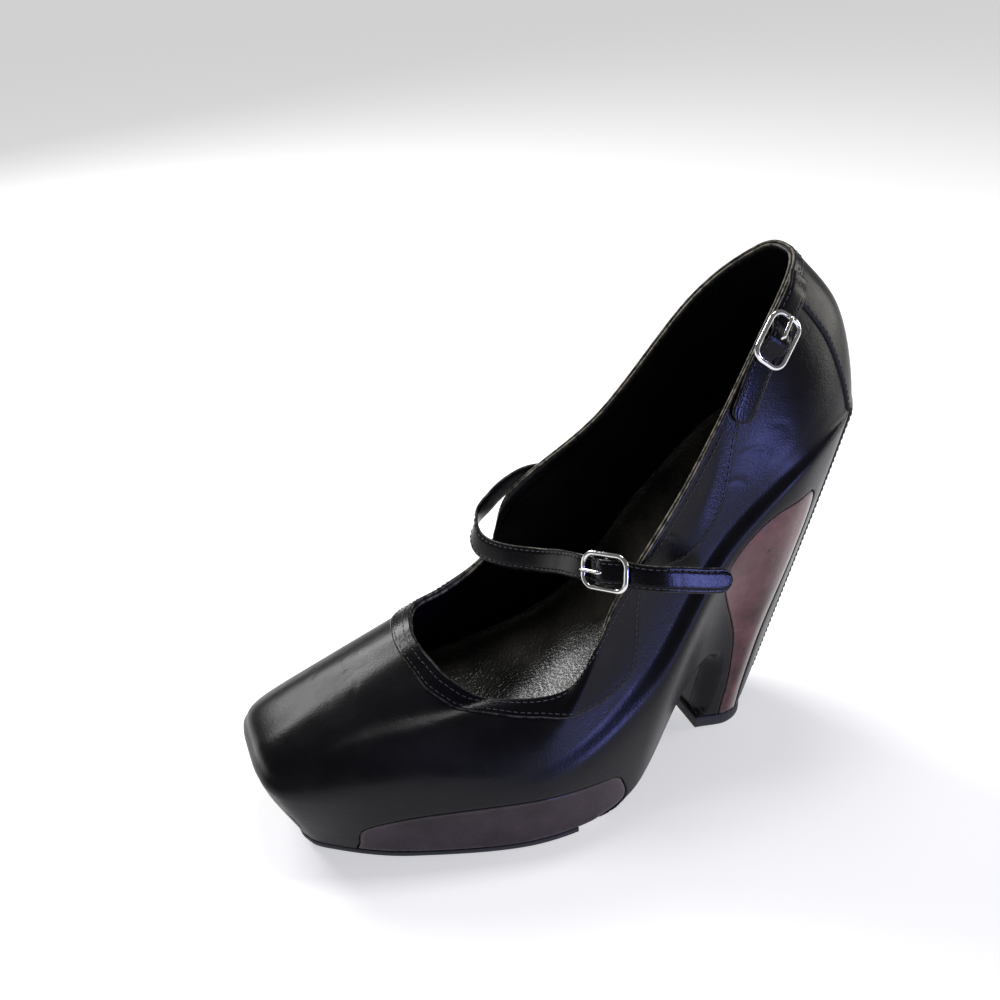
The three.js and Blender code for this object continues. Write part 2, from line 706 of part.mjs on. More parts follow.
// The origin is under the middle of the shoe's box, on the floor
const box = new THREE.Box3().setFromObject(shoe);
const middle = box.getCenter(new THREE.Vector3());
shoe.position.set(-middle.x, -middle.y, -box.min.z);

export default shoe;
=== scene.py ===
"""Looks of a left platform shoe: one leather skin over a cut-out wedge, with collar band, plates and straps.

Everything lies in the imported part's own frame, in metres: toe towards -Y, outer side towards +X and the
floor at Z = 0. A place on the skin is a station (0 at the toe's centre, 10 at the heel's, up to 20 round
the medial side) and a level (0 at the lower edge, 1 at the feather line, 4 at the topline).
"""

from __future__ import annotations

import json
import logging
import math
from dataclasses import dataclass, field
from enum import Enum
from typing import Callable, Sequence

import bpy
import numpy as np
from mathutils import Matrix, Vector, geometry, kdtree

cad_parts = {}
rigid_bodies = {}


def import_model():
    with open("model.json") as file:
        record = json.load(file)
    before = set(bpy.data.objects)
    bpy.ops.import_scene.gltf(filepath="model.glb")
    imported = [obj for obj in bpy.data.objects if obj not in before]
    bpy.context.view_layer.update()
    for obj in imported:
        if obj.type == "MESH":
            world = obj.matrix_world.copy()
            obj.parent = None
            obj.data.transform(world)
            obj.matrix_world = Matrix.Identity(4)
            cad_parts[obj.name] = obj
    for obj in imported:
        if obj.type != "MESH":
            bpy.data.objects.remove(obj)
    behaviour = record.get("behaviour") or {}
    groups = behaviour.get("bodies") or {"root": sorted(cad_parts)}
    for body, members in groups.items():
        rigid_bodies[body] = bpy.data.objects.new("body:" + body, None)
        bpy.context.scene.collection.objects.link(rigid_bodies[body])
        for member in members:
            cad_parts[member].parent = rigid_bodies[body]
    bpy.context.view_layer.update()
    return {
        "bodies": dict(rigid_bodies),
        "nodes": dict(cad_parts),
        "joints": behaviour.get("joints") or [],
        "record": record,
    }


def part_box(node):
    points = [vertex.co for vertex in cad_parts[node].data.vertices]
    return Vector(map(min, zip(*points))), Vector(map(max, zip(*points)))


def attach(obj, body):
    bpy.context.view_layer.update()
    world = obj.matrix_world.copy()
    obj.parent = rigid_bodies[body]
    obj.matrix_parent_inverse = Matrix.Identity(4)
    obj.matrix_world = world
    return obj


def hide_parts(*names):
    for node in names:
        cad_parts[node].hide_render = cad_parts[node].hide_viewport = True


LOG = logging.getLogger("shoe")
MM = 0.001

Rows = Sequence[Sequence[float]]
Socket = bpy.types.NodeSocket
Array = np.ndarray


class Side(Enum):
    """The two sides of the shoe, as the sign of X."""

    LATERAL = 1
    MEDIAL = -1


def unit(vectors: Array) -> Array:
    """Scales vectors to length one."""
    return vectors / np.maximum(np.linalg.norm(vectors, axis=-1, keepdims=True), 1e-12)


def smooth_step(low: float, high: float, at: Array) -> Array:
    """Rises smoothly from 0 at low to 1 at high."""
    t = np.clip((np.asarray(at, float) - low) / (high - low), 0, 1)
    return t * t * (3 - 2 * t)


def spline_weights(t: Array) -> tuple[Array, Array]:
    """Weights of four neighbouring points of a smooth curve, and of its slope."""
    t = np.asarray(t, float)
    value = [-t + 2 * t**2 - t**3, 2 - 5 * t**2 + 3 * t**3, t + 4 * t**2 - 3 * t**3, t**3 - t**2]
    slope = [-1 + 4 * t - 3 * t**2, 9 * t**2 - 10 * t, 1 + 8 * t - 9 * t**2, 3 * t**2 - 2 * t]
    return 0.5 * np.array(value), 0.5 * np.array(slope)


def smooth_line(points: Array, at: Array, closed: bool = False) -> tuple[Array, Array]:
    """Places on a smooth curve through points.

    Args:
        points: The curve's points, one a row.
        at: Places to find, as row numbers with fractions.
        closed: Whether the last point is joined to the first.

    Returns:
        The places and the curve's slope there.
    """
    count = len(points)
    last = count if closed else count - 1
    row = np.clip(np.floor(at).astype(int), 0, last - 1)
    value, slope = spline_weights(np.asarray(at, float) - row)
    if closed:
        near = [points[(row - 1 + k) % count] for k in range(4)]
    else:
        full = np.vstack([2 * points[0] - points[1], points, 2 * points[-1] - points[-2]])
        near = [full[row + k] for k in range(4)]
    place = sum(value[k][:, None] * near[k] for k in range(4))
    tangent = sum(slope[k][:, None] * near[k] for k in range(4))
    return place, tangent


def look_up(rows: Rows, at: Array) -> Array:
    """A two-column table's value at any place between its rows.

    Args:
        rows: Rows of a place and its value, in order.
        at: The places to look up.

    Returns:
        The values, on a smooth line through the rows.
    """
    table = np.array(rows, float)
    key, value = table[:, 0], table[:, 1]
    last = len(table) - 1
    before = np.maximum(np.arange(last + 1) - 1, 0)
    after = np.minimum(np.arange(last + 1) + 1, last)
    slope = (value[after] - value[before]) / (key[after] - key[before])
    i = np.clip(np.searchsorted(key, at, side="right") - 1, 0, last - 1)
    span = key[i + 1] - key[i]
    t = np.clip((at - key[i]) / span, 0, 1)
    start = value[i] * (2 * t**3 - 3 * t**2 + 1) + value[i + 1] * (3 * t**2 - 2 * t**3)
    return start + span * (slope[i] * (t**3 - 2 * t**2 + t) + slope[i + 1] * (t**3 - t**2))


def run_along(points: Array) -> Array:
    """Length of a line of points from its start to each point."""
    return np.concatenate([[0], np.cumsum(np.linalg.norm(np.diff(points, axis=0), axis=1))])


def nearest(points: Array, samples: Array) -> tuple[Array, Array]:
    """Distance from each point to its nearest sample, and that sample's number."""
    tree = kdtree.KDTree(len(samples))
    for number, sample in enumerate(samples):
        tree.insert(sample, number)
    tree.balance()
    found = [tree.find(point)[1:] for point in points]
    return np.array([f[1] for f in found]), np.array([f[0] for f in found], int)


@dataclass
class Last:
    """The shoe's form: five levels of the skin, each a closed ring of twenty stations.

    Lengths along are shares of length, lateral and medial are shares of half_width. Each table has a row for
    the stations 0 (toe centre), 1 toe front, 2 toe corner, 3 behind it, 4 vamp, 5 ball, 6 waist, 7 shank,
    8 heel side, 9 heel corner and 10 (heel centre).
    """

    length: float = 232 * MM
    half_width: float = 46 * MM
    platform: float = 24 * MM
    seat: float = 118 * MM
    counter: float = 68 * MM
    toe_spring: float = 4 * MM
    outsole: float = 2.1 * MM
    top_lift: float = 5 * MM
    gap: float = 0.3 * MM
    shift: Array = field(default_factory=lambda: np.zeros(3))
    net: Array = field(init=False)

    # along, lateral, medial, share of toe spring, lift from 0 at the outsole to 1 at the top lift
    EDGE = (
        (0.060, 0.00, 0.00, 1.00, 0), (0.061, 0.22, 0.28, 0.95, 0), (0.068, 0.38, 0.44, 0.80, 0),
        (0.098, 0.52, 0.58, 0.40, 0), (0.210, 0.82, 0.80, 0.00, 0), (0.405, 1.12, 0.84, 0.00, 0),
        (0.570, 1.00, 0.74, 0.00, 0), (0.710, 0.48, 0.50, 0.00, 1), (0.810, 0.50, 0.48, 0.00, 1),
        (0.854, 0.34, 0.32, 0.00, 1), (0.868, 0.00, 0.00, 0.00, 1),
    )
    # along, lateral, medial, rise from 0 at the platform to 1 at the seat
    FEATHER = (
        (0.018, 0.00, 0.00, 0.06), (0.020, 0.24, 0.30, 0.06), (0.032, 0.44, 0.48, 0.05),
        (0.072, 0.59, 0.62, 0.03), (0.205, 0.86, 0.83, 0.00), (0.415, 1.16, 0.84, 0.02),
        (0.600, 1.04, 0.68, 0.22), (0.745, 0.84, 0.60, 0.64), (0.885, 0.78, 0.62, 0.91),
        (0.980, 0.48, 0.42, 0.99), (1.008, 0.00, 0.00, 1.00),
    )
    # along, lateral, medial, height over the feather line as a share of counter
    SWELL = (
        (0.018, 0.00, 0.00, 0.12), (0.020, 0.23, 0.29, 0.12), (0.032, 0.42, 0.46, 0.12),
        (0.074, 0.57, 0.60, 0.14), (0.205, 0.83, 0.81, 0.20), (0.410, 1.09, 0.82, 0.14),
        (0.590, 0.94, 0.66, 0.18), (0.735, 0.76, 0.60, 0.20), (0.885, 0.74, 0.60, 0.24),
        (0.995, 0.46, 0.42, 0.27), (1.026, 0.00, 0.00, 0.30),
    )
    SHOULDER = (
        (0.062, 0.00, 0.00, 0.26), (0.064, 0.19, 0.24, 0.26), (0.080, 0.35, 0.39, 0.26),
        (0.116, 0.46, 0.48, 0.29), (0.230, 0.68, 0.60, 0.38), (0.412, 1.01, 0.74, 0.26),
        (0.565, 0.87, 0.65, 0.36), (0.705, 0.70, 0.58, 0.38), (0.865, 0.59, 0.54, 0.52),
        (0.975, 0.32, 0.32, 0.66), (1.003, 0.00, 0.00, 0.70),
    )
    # along, lateral, height, and the medial side's own along, medial and height
    TOPLINE = (
        (0.293, 0.00, 0.54, 0.293, 0.00, 0.54), (0.295, 0.15, 0.53, 0.297, 0.14, 0.55),
        (0.303, 0.30, 0.515, 0.307, 0.30, 0.56), (0.320, 0.48, 0.49, 0.330, 0.46, 0.57),
        (0.372, 0.66, 0.44, 0.395, 0.66, 0.575), (0.486, 0.87, 0.475, 0.475, 0.745, 0.68),
        (0.560, 0.84, 0.64, 0.517, 0.72, 0.77), (0.690, 0.67, 0.555, 0.665, 0.58, 0.60),
        (0.820, 0.46, 0.80, 0.815, 0.46, 0.84), (0.900, 0.23, 0.98, 0.900, 0.24, 1.00),
        (0.920, 0.00, 1.03, 0.920, 0.00, 1.03),
    )
    STATIONS = 20
    TOP = 4
    FACET = 1 / 3

    def __post_init__(self) -> None:
        """Lays the rings out, with one more ring past each end for the curves to run on to."""
        bed = [self.platform + row[3] * (self.seat - self.platform) for row in self.FEATHER]
        under = [self.gap + self.toe_spring * row[3] + self.outsole + row[4] * (self.top_lift - self.outsole)
                 for row in self.EDGE]
        above = lambda rows, column: [bed[i] + row[column] * self.counter for i, row in enumerate(rows)]
        rings = [
            self.ring(self.EDGE, under, under),
            self.ring(self.FEATHER, bed, bed),
            self.ring(self.SWELL, above(self.SWELL, 3), above(self.SWELL, 3)),
            self.ring(self.SHOULDER, above(self.SHOULDER, 3), above(self.SHOULDER, 3)),
            self.ring(self.TOPLINE, above(self.TOPLINE, 2), above(self.TOPLINE, 5), own_medial=True),
        ]
        self.net = np.array([2 * rings[0] - rings[1], *rings, 2 * rings[-1] - rings[-2]])

    def ring(self, rows: Rows, lateral: Sequence[float], medial: Sequence[float],
             own_medial: bool = False) -> Array:
        """One level's twenty points.

        Args:
            rows: The level's table.
            lateral: Heights on the lateral side.
            medial: Heights on the medial side.
            own_medial: Whether the table gives the medial side places of its own.

        Returns:
            The points, lateral side first.
        """
        along, across = (3, 4) if own_medial else (0, 2)
        wide, long = self.half_width, self.length
        outer = [(row[1] * wide, row[0] * long, lateral[i]) for i, row in enumerate(rows)]
        inner = [(-row[across] * wide, row[along] * long, medial[i]) for i, row in enumerate(rows)]
        return np.array(outer + inner[-2:0:-1])

    def bed_at(self, along: Array) -> Array:
        """Height of the foot bed at shares of the length."""
        rise = look_up([(row[0], row[3]) for row in self.FEATHER], along)
        return self.platform + rise * (self.seat - self.platform)

    def seat_on(self, corner: Vector) -> None:
        """Moves the form so that its box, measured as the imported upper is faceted, starts at corner."""
        stations = np.arange(0, self.STATIONS, self.FACET)
        levels = np.arange(0, self.TOP + self.FACET / 2, self.FACET)
        u, v = np.meshgrid(stations, levels)
        low = self.at(u.ravel(), v.ravel())[0].min(0)
        self.shift = np.array([corner.x - low[0], corner.y - low[1], 0.0])

    def at(self, u: Array, v: Array) -> tuple[Array, Array, Array, Array]:
        """The skin at stations u and levels v.

        Returns:
            Places, outward normals, and the slopes along station and level.
        """
        u, v = np.broadcast_arrays(np.asarray(u, float), np.asarray(v, float))
        column = np.floor(u).astype(int)
        row = np.clip(np.floor(v).astype(int), 0, self.TOP - 1)
        round_value, round_slope = spline_weights(u - column)
        rise_value, rise_slope = spline_weights(v - row)
        place, along, up = (np.zeros(u.shape + (3,)) for _ in range(3))
        for a in range(4):
            for b in range(4):
                point = self.net[row + a, (column - 1 + b) % self.STATIONS]
                place += (rise_value[a] * round_value[b])[..., None] * point
                along += (rise_value[a] * round_slope[b])[..., None] * point
                up += (rise_slope[a] * round_value[b])[..., None] * point
        return place + self.shift, unit(np.cross(along, up)), along, up

    def off(self, u: Array, v: Array, distance: Array | float) -> Array:
        """Places off the skin by a distance along its normal."""
        place, normal, _, _ = self.at(u, v)
        return place + normal * np.asarray(distance)[..., None]

    def step(self, line: Array, direction: Array, distance: Array | float) -> Array:
        """Moves places (station, level) along a direction in the skin by a distance.

        Args:
            line: Places, one a row.
            direction: Directions in space, one a row.
            distance: How far to go, in metres.

        Returns:
            The moved places.
        """
        _, _, along, up = self.at(line[:, 0], line[:, 1])
        aa, ab, bb = (along * along).sum(1), (along * up).sum(1), (up * up).sum(1)
        da, db = (along * direction).sum(1), (up * direction).sum(1)
        det = np.maximum(aa * bb - ab * ab, 1e-18)
        move = np.stack([(da * bb - db * ab) / det, (db * aa - da * ab) / det], 1)
        return line + move * np.asarray(distance).reshape(-1, 1)

    def inward(self, line: Array, closed: bool = True) -> Array:
        """Directions in the skin to the left of a line of places."""
        place, normal, _, _ = self.at(line[:, 0], line[:, 1])
        if closed:
            tangent = np.roll(place, -1, 0) - np.roll(place, 1, 0)
        else:
            tangent = np.gradient(place, axis=0)
        return unit(np.cross(normal, unit(tangent)))

    def even(self, line: Array, spacing: float) -> Array:
        """The same line of places with an even spacing over the skin."""
        place = self.at(line[:, 0], line[:, 1])[0]
        run = run_along(place)
        count = max(int(run[-1] / spacing), 2)
        at = np.linspace(0, run[-1], count + 1)
        return np.stack([np.interp(at, run, line[:, 0]), np.interp(at, run, line[:, 1])], 1)

    def seen_from_side(self, along: Array, height: Array, side: Side) -> Array:
        """Finds places on the skin from where they are seen in a side view.

        Args:
            along: Distances from the toe's end of the length, in metres.
            height: Heights above the floor, in metres.
            side: Which side of the shoe.

        Returns:
            Places (station, level), with medial stations below zero.
        """
        target = np.stack([along + self.shift[1], height], 1)
        u, v = np.meshgrid(np.linspace(0.6, 9.6, 181) * side.value, np.linspace(0, 2.3, 70))
        line = np.stack([u.ravel(), v.ravel()], 1)
        seen = self.at(line[:, 0], line[:, 1])[0][:, 1:]
        found = line[[np.argmin(((seen - t) ** 2).sum(1)) for t in target]]
        for _ in range(5):
            place, _, along_slope, up_slope = self.at(found[:, 0], found[:, 1])
            miss = target - place[:, 1:]
            a, b = along_slope[:, 1:], up_slope[:, 1:]
            det = a[:, 0] * b[:, 1] - a[:, 1] * b[:, 0]
            du = (miss[:, 0] * b[:, 1] - miss[:, 1] * b[:, 0]) / det
            dv = (a[:, 0] * miss[:, 1] - a[:, 1] * miss[:, 0]) / det
            found = found + np.clip(np.stack([du, dv], 1), -0.2, 0.2)
        return found


@dataclass(frozen=True)
class Nodes:
    """A material's node tree, with short ways to add to it."""

    tree: bpy.types.NodeTree

    def add(self, kind: str, **values: object) -> bpy.types.Node:
        """Adds a node; values that name an input set it or link it, the others set the node's own fields."""
        node = self.tree.nodes.new(kind)
        for name, value in values.items():
            key = name.replace("_", " ").title()
            if hasattr(node, name):
                setattr(node, name, value)
            elif isinstance(value, Socket):
                self.tree.links.new(value, node.inputs[key])
            else:
                node.inputs[key].default_value = value
        return node

    def noise(self, where: Socket, scale: float, detail: float = 3, rough: float = 0.5) -> Socket:
        """A cloudy pattern from 0 to 1; scale is in clouds a metre."""
        node = self.add("ShaderNodeTexNoise", scale=scale, detail=detail, roughness=rough)
        self.tree.links.new(where, node.inputs["Vector"])
        return node.outputs["Fac"]

    def spread(self, value: Socket, low: float, high: float, to_low: float, to_high: float) -> Socket:
        """Maps a range of a value to another range, and stops at its ends."""
        node = self.add("ShaderNodeMapRange", clamp=True)
        self.tree.links.new(value, node.inputs["Value"])
        for name, number in (("From Min", low), ("From Max", high), ("To Min", to_low), ("To Max", to_high)):
            node.inputs[name].default_value = number
        return node.outputs["Result"]

    def blend(self, share: Socket, first: object, second: object) -> Socket:
        """A colour between two others, by share."""
        node = self.add("ShaderNodeMix", data_type="RGBA")
        self.tree.links.new(share, node.inputs["Factor"])
        for socket, colour in ((node.inputs[6], first), (node.inputs[7], second)):
            if isinstance(colour, Socket):
                self.tree.links.new(colour, socket)
            else:
                socket.default_value = (*colour, 1)
        return node.outputs[2]

    def bump(self, height: Socket, strength: float, depth: float, under: Socket | None = None) -> Socket:
        """Relief of a real depth in metres, on top of any other relief."""
        node = self.add("ShaderNodeBump", strength=strength, distance=depth)
        self.tree.links.new(height, node.inputs["Height"])
        if under is not None:
            self.tree.links.new(under, node.inputs["Normal"])
        return node.outputs["Normal"]


@dataclass(frozen=True)
class Finish:
    """A surface finish, made once and shared by its pieces."""

    name: str
    slot: str

    def material(self) -> bpy.types.Material:
        """The Blender material, made at the first call."""
        made = bpy.data.materials.get(self.name)
        if made is None:
            made = bpy.data.materials.new(self.name)
            made.use_nodes = True
            nodes = Nodes(made.node_tree)
            shader = made.node_tree.nodes["Principled BSDF"]
            where = nodes.add("ShaderNodeTexCoord").outputs["Object"]
            self.dress(nodes, shader, where)
        return made

    def dress(self, nodes: Nodes, shader: bpy.types.Node, where: Socket) -> None:
        """Adds this finish's nodes to a new material."""
        raise NotImplementedError


@dataclass(frozen=True)
class Leather(Finish):
    """Dyed leather: fine pores, soft wrinkles, cloudy sheen, a tone from dark to pale that on the sock is
    painted sheen, and a pale colour where the mesh marks it: wear, and on the straps' upper edges a painted
    highlight.
    """

    dark: tuple[float, float, float] = (0.0035, 0.0035, 0.0045)
    pale: tuple[float, float, float] = (0.0095, 0.0095, 0.0105)
    # Pale colour for marked edges: wear, and on the straps' upper edges also a painted highlight.
    pale_edge: tuple[float, float, float] = (0.30, 0.27, 0.22)
    matt: float = 0.40
    gloss: float = 0.27
    specular: float = 0.16
    coat: float = 0.05
    coat_rough: float = 0.25
    pore: float = 1500
    pore_depth: float = 0.00008
    wrinkle_depth: float = 0.00022

    def dress(self, nodes: Nodes, shader: bpy.types.Node, where: Socket) -> None:
        """Adds the leather's nodes."""
        links = nodes.tree.links
        cloud = nodes.noise(where, 38, 4, 0.55)
        fine = nodes.noise(where, 420, 3, 0.6)
        # Tone from dark to pale in clouds: the dye, and on the sock painted sheen.
        dye_and_sheen = nodes.blend(nodes.spread(cloud, 0.35, 0.7, 0, 1), self.dark, self.pale)
        # Pale colour where the mesh marks it: wear, and on the straps' upper edges a painted highlight.
        wear_and_highlight = nodes.add("ShaderNodeAttribute", attribute_name="wear_and_highlight").outputs["Fac"]
        scuffed_and_lit = nodes.add("ShaderNodeMath", operation="MULTIPLY")
        links.new(wear_and_highlight, scuffed_and_lit.inputs[0])
        links.new(nodes.spread(fine, 0.38, 0.62, 0.15, 1), scuffed_and_lit.inputs[1])
        links.new(nodes.blend(scuffed_and_lit.outputs[0], dye_and_sheen, self.pale_edge), shader.inputs["Base Color"])
        links.new(nodes.spread(cloud, 0.3, 0.7, self.gloss, self.matt), shader.inputs["Roughness"])
        pores = nodes.add("ShaderNodeTexVoronoi", feature="SMOOTH_F1", scale=self.pore, smoothness=0.6)
        links.new(where, pores.inputs["Vector"])
        relief = nodes.bump(pores.outputs["Distance"], 0.5, self.pore_depth)
        relief = nodes.bump(nodes.noise(where, 170, 4, 0.6), 0.5, self.wrinkle_depth, relief)
        links.new(relief, shader.inputs["Normal"])
        shader.inputs["Specular IOR Level"].default_value = self.specular
        shader.inputs["Coat Weight"].default_value = self.coat
        shader.inputs["Coat Roughness"].default_value = self.coat_rough


@dataclass(frozen=True)
class Lacquer(Finish):
    """The plates' tinted gloss: clouded colour, darker spots, and a pale colour where the mesh marks it."""

    deep: tuple[float, float, float] = (0.045, 0.010, 0.012)
    paler: tuple[float, float, float] = (0.150, 0.055, 0.056)
    spot: tuple[float, float, float] = (0.030, 0.012, 0.012)
    rim: tuple[float, float, float] = (0.42, 0.39, 0.30)
    metal: float = 0.1

    def dress(self, nodes: Nodes, shader: bpy.types.Node, where: Socket) -> None:
        """Adds the lacquer's nodes."""
        links = nodes.tree.links
        cloud = nodes.noise(where, 45, 5, 0.62)
        tint = nodes.blend(nodes.spread(cloud, 0.36, 0.66, 0, 1), self.deep, self.paler)
        spots = nodes.spread(nodes.noise(where, 260, 4, 0.7), 0.60, 0.68, 0, 1)
        tint = nodes.blend(spots, tint, self.spot)
        wear_and_highlight = nodes.add("ShaderNodeAttribute", attribute_name="wear_and_highlight").outputs["Fac"]
        links.new(nodes.blend(wear_and_highlight, tint, self.rim), shader.inputs["Base Color"])
        links.new(nodes.spread(cloud, 0.3, 0.7, 0.14, 0.34), shader.inputs["Roughness"])
        relief = nodes.bump(nodes.noise(where, 120, 3, 0.5), 0.35, 0.0003)
        links.new(relief, shader.inputs["Normal"])
        shader.inputs["Metallic"].default_value = self.metal
        shader.inputs["Specular IOR Level"].default_value = 0.2
        shader.inputs["Coat Weight"].default_value = 0.12
        shader.inputs["Coat Roughness"].default_value = 0.08


@dataclass(frozen=True)
class Metal(Finish):
    """Polished plated metal with faint marks."""

    colour: tuple[float, float, float] = (0.80, 0.79, 0.78)

    def dress(self, nodes: Nodes, shader: bpy.types.Node, where: Socket) -> None:
        """Adds the metal's nodes."""
        links = nodes.tree.links
        marks = nodes.noise(where, 900, 4, 0.65)
        links.new(nodes.blend(nodes.spread(marks, 0.6, 0.75, 0, 0.5), self.colour, (0.35, 0.30, 0.26)),
                  shader.inputs["Base Color"])
        links.new(nodes.spread(marks, 0.3, 0.7, 0.06, 0.2), shader.inputs["Roughness"])
        links.new(nodes.bump(nodes.noise(where, 350, 2), 0.2, 0.00008), shader.inputs["Normal"])
        shader.inputs["Metallic"].default_value = 1.0


@dataclass(frozen=True)
class Rubber(Finish):
    """Matt rubber or a plain moulded core, with a fine cross-ribbed tread in its relief."""

    colour: tuple[float, float, float] = (0.012, 0.012, 0.013)
    tread: float = 0.0002

    def dress(self, nodes: Nodes, shader: bpy.types.Node, where: Socket) -> None:
        """Adds the rubber's nodes."""
        links = nodes.tree.links
        grit = nodes.noise(where, 1800, 3, 0.6)
        pale = tuple(min(1.0, c * 1.8) for c in self.colour)
        links.new(nodes.blend(grit, self.colour, pale), shader.inputs["Base Color"])
        links.new(nodes.spread(grit, 0.2, 0.8, 0.5, 0.75), shader.inputs["Roughness"])
        ribs = nodes.add("ShaderNodeTexWave", bands_direction="Y", scale=110)
        links.new(where, ribs.inputs["Vector"])
        relief = nodes.bump(ribs.outputs["Fac"], 0.4, self.tread)
        links.new(nodes.bump(grit, 0.4, 0.00006, relief), shader.inputs["Normal"])


@dataclass(frozen=True)
class Thread(Finish):
    """Waxed sewing thread, twisted."""

    colour: tuple[float, float, float] = (0.02, 0.02, 0.024)

    def dress(self, nodes: Nodes, shader: bpy.types.Node, where: Socket) -> None:
        """Adds the thread's nodes."""
        links = nodes.tree.links
        fibre = nodes.noise(where, 2600, 2)
        pale = tuple(min(1.0, c * 2.5) for c in self.colour)
        links.new(nodes.blend(fibre, self.colour, pale), shader.inputs["Base Color"])
        links.new(nodes.bump(fibre, 0.5, 0.00008), shader.inputs["Normal"])
        shader.inputs["Roughness"].default_value = 0.45


VAMP = Leather("vamp_leather", "upper_leather")
TRIM = Leather("band_leather", "trim_leather", dark=(0.0022, 0.0022, 0.0032), pale=(0.005, 0.005, 0.007),
               matt=0.30, gloss=0.20, specular=0.14, coat=0.06, coat_rough=0.14)
LINING = Leather("lining_leather", "insole_leather", dark=(0.0012, 0.0012, 0.0018),
                 pale=(0.003, 0.003, 0.004), matt=0.55, gloss=0.42, specular=0.12, coat=0.0,
                 pore=900, pore_depth=0.00016)
# The sock's colours are painted sheen, the pale one most: the glossy black insole is coloured a warm grey to
# stand in for the light it reflects.
SOCK = Leather("sock_leather_painted_sheen", "insole_leather", dark=(0.010, 0.010, 0.009), pale=(0.060, 0.056, 0.046),
               matt=0.36, gloss=0.24, specular=0.6, coat=0.3, coat_rough=0.2, pore=1000,
               pore_depth=0.0005, wrinkle_depth=0.0010)
PLATE = Lacquer("plate_lacquer", "plate_gloss")
BALL_LACQUER = Lacquer("ball_plate_lacquer", "plate_gloss", deep=(0.014, 0.007, 0.012),
                       paler=(0.042, 0.022, 0.034))
CHROME = Metal("buckle_chrome", "buckle_metal")
RUBBER = Rubber("tread_rubber", "sole_rubber")
CORE = Rubber("plain_core", "wedge_core", colour=(0.30, 0.27, 0.23), tread=0.0)
THREAD = Thread("black_thread", "trim_leather")
PALE_THREAD = Thread("worn_thread", "trim_leather", colour=(0.014, 0.014, 0.017))


@dataclass(frozen=True)
class Shell:
    """A mesh as arrays: vertices in metres, faces as vertex numbers, and how pale each vertex is painted:
    wear, and on the straps' upper edges a painted highlight.
    """

    vertices: Array
    faces: Sequence[Sequence[int]]
    wear_and_highlight: Array | None = None

    def piece(self, name: str, finish: Finish, *nodes: str) -> bpy.types.Object:
        """Makes the shown piece.

        Args:
            name: The piece's name.
            finish: Its finish.
            nodes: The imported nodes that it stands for, if any.

        Returns:
            The new object, riding on the part's one body.
        """
        mesh = bpy.data.meshes.new(name)
        mesh.from_pydata(self.vertices.tolist(), [], [list(map(int, face)) for face in self.faces])
        mesh.polygons.foreach_set("use_smooth", [True] * len(mesh.polygons))
        if self.wear_and_highlight is not None:
            marks = mesh.attributes.new("wear_and_highlight", "FLOAT", "POINT")
            marks.data.foreach_set("value", self.wear_and_highlight.astype(np.float32))
        mesh.materials.append(finish.material())
        mesh.update()
        made = bpy.data.objects.new(name, mesh)
        bpy.context.scene.collection.objects.link(made)
        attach(made, "root")
        if nodes:
            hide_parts(*nodes)
        LOG.info("%s: %d faces", name, len(mesh.polygons))
        return made


def sweep(rings: Array, closed_ends: bool = False, wear_and_highlight: Array | None = None) -> Shell:
    """Joins rings of points into a closed body.

    Args:
        rings: An array of rings, each a closed row of points.
        closed_ends: Whether the last ring joins the first; otherwise each end gets a cap.
        wear_and_highlight: How pale each point is painted, for wear and for a painted highlight, in the same
            layout.

    Returns:
        The body.
    """
    count, size = rings.shape[:2]
    faces = []
    for r in range(count if closed_ends else count - 1):
        low, high = r * size, ((r + 1) % count) * size
        faces += [(low + i, low + (i + 1) % size, high + (i + 1) % size, high + i) for i in range(size)]
    if not closed_ends:
        faces += [tuple(range(size))[::-1], tuple((count - 1) * size + i for i in range(size))]
    return Shell(rings.reshape(-1, 3), faces, None if wear_and_highlight is None else wear_and_highlight.ravel())


def join(shells: Sequence[Shell]) -> Shell:
    """Puts many small bodies into one mesh."""
    faces, start = [], 0
    for shell in shells:
        faces += [[start + i for i in face] for face in shell.faces]
        start += len(shell.vertices)
    return Shell(np.vstack([shell.vertices for shell in shells]), faces)


@dataclass(frozen=True)
class Cut:
    """A panel's cut edge: a closed line of places, and how far it is rounded over and dips there."""

    line: Array
    round_over: Array | float = 0.8 * MM
    dip: Array | float = 0.6 * MM
    within: Callable[[Array], Array] | None = None


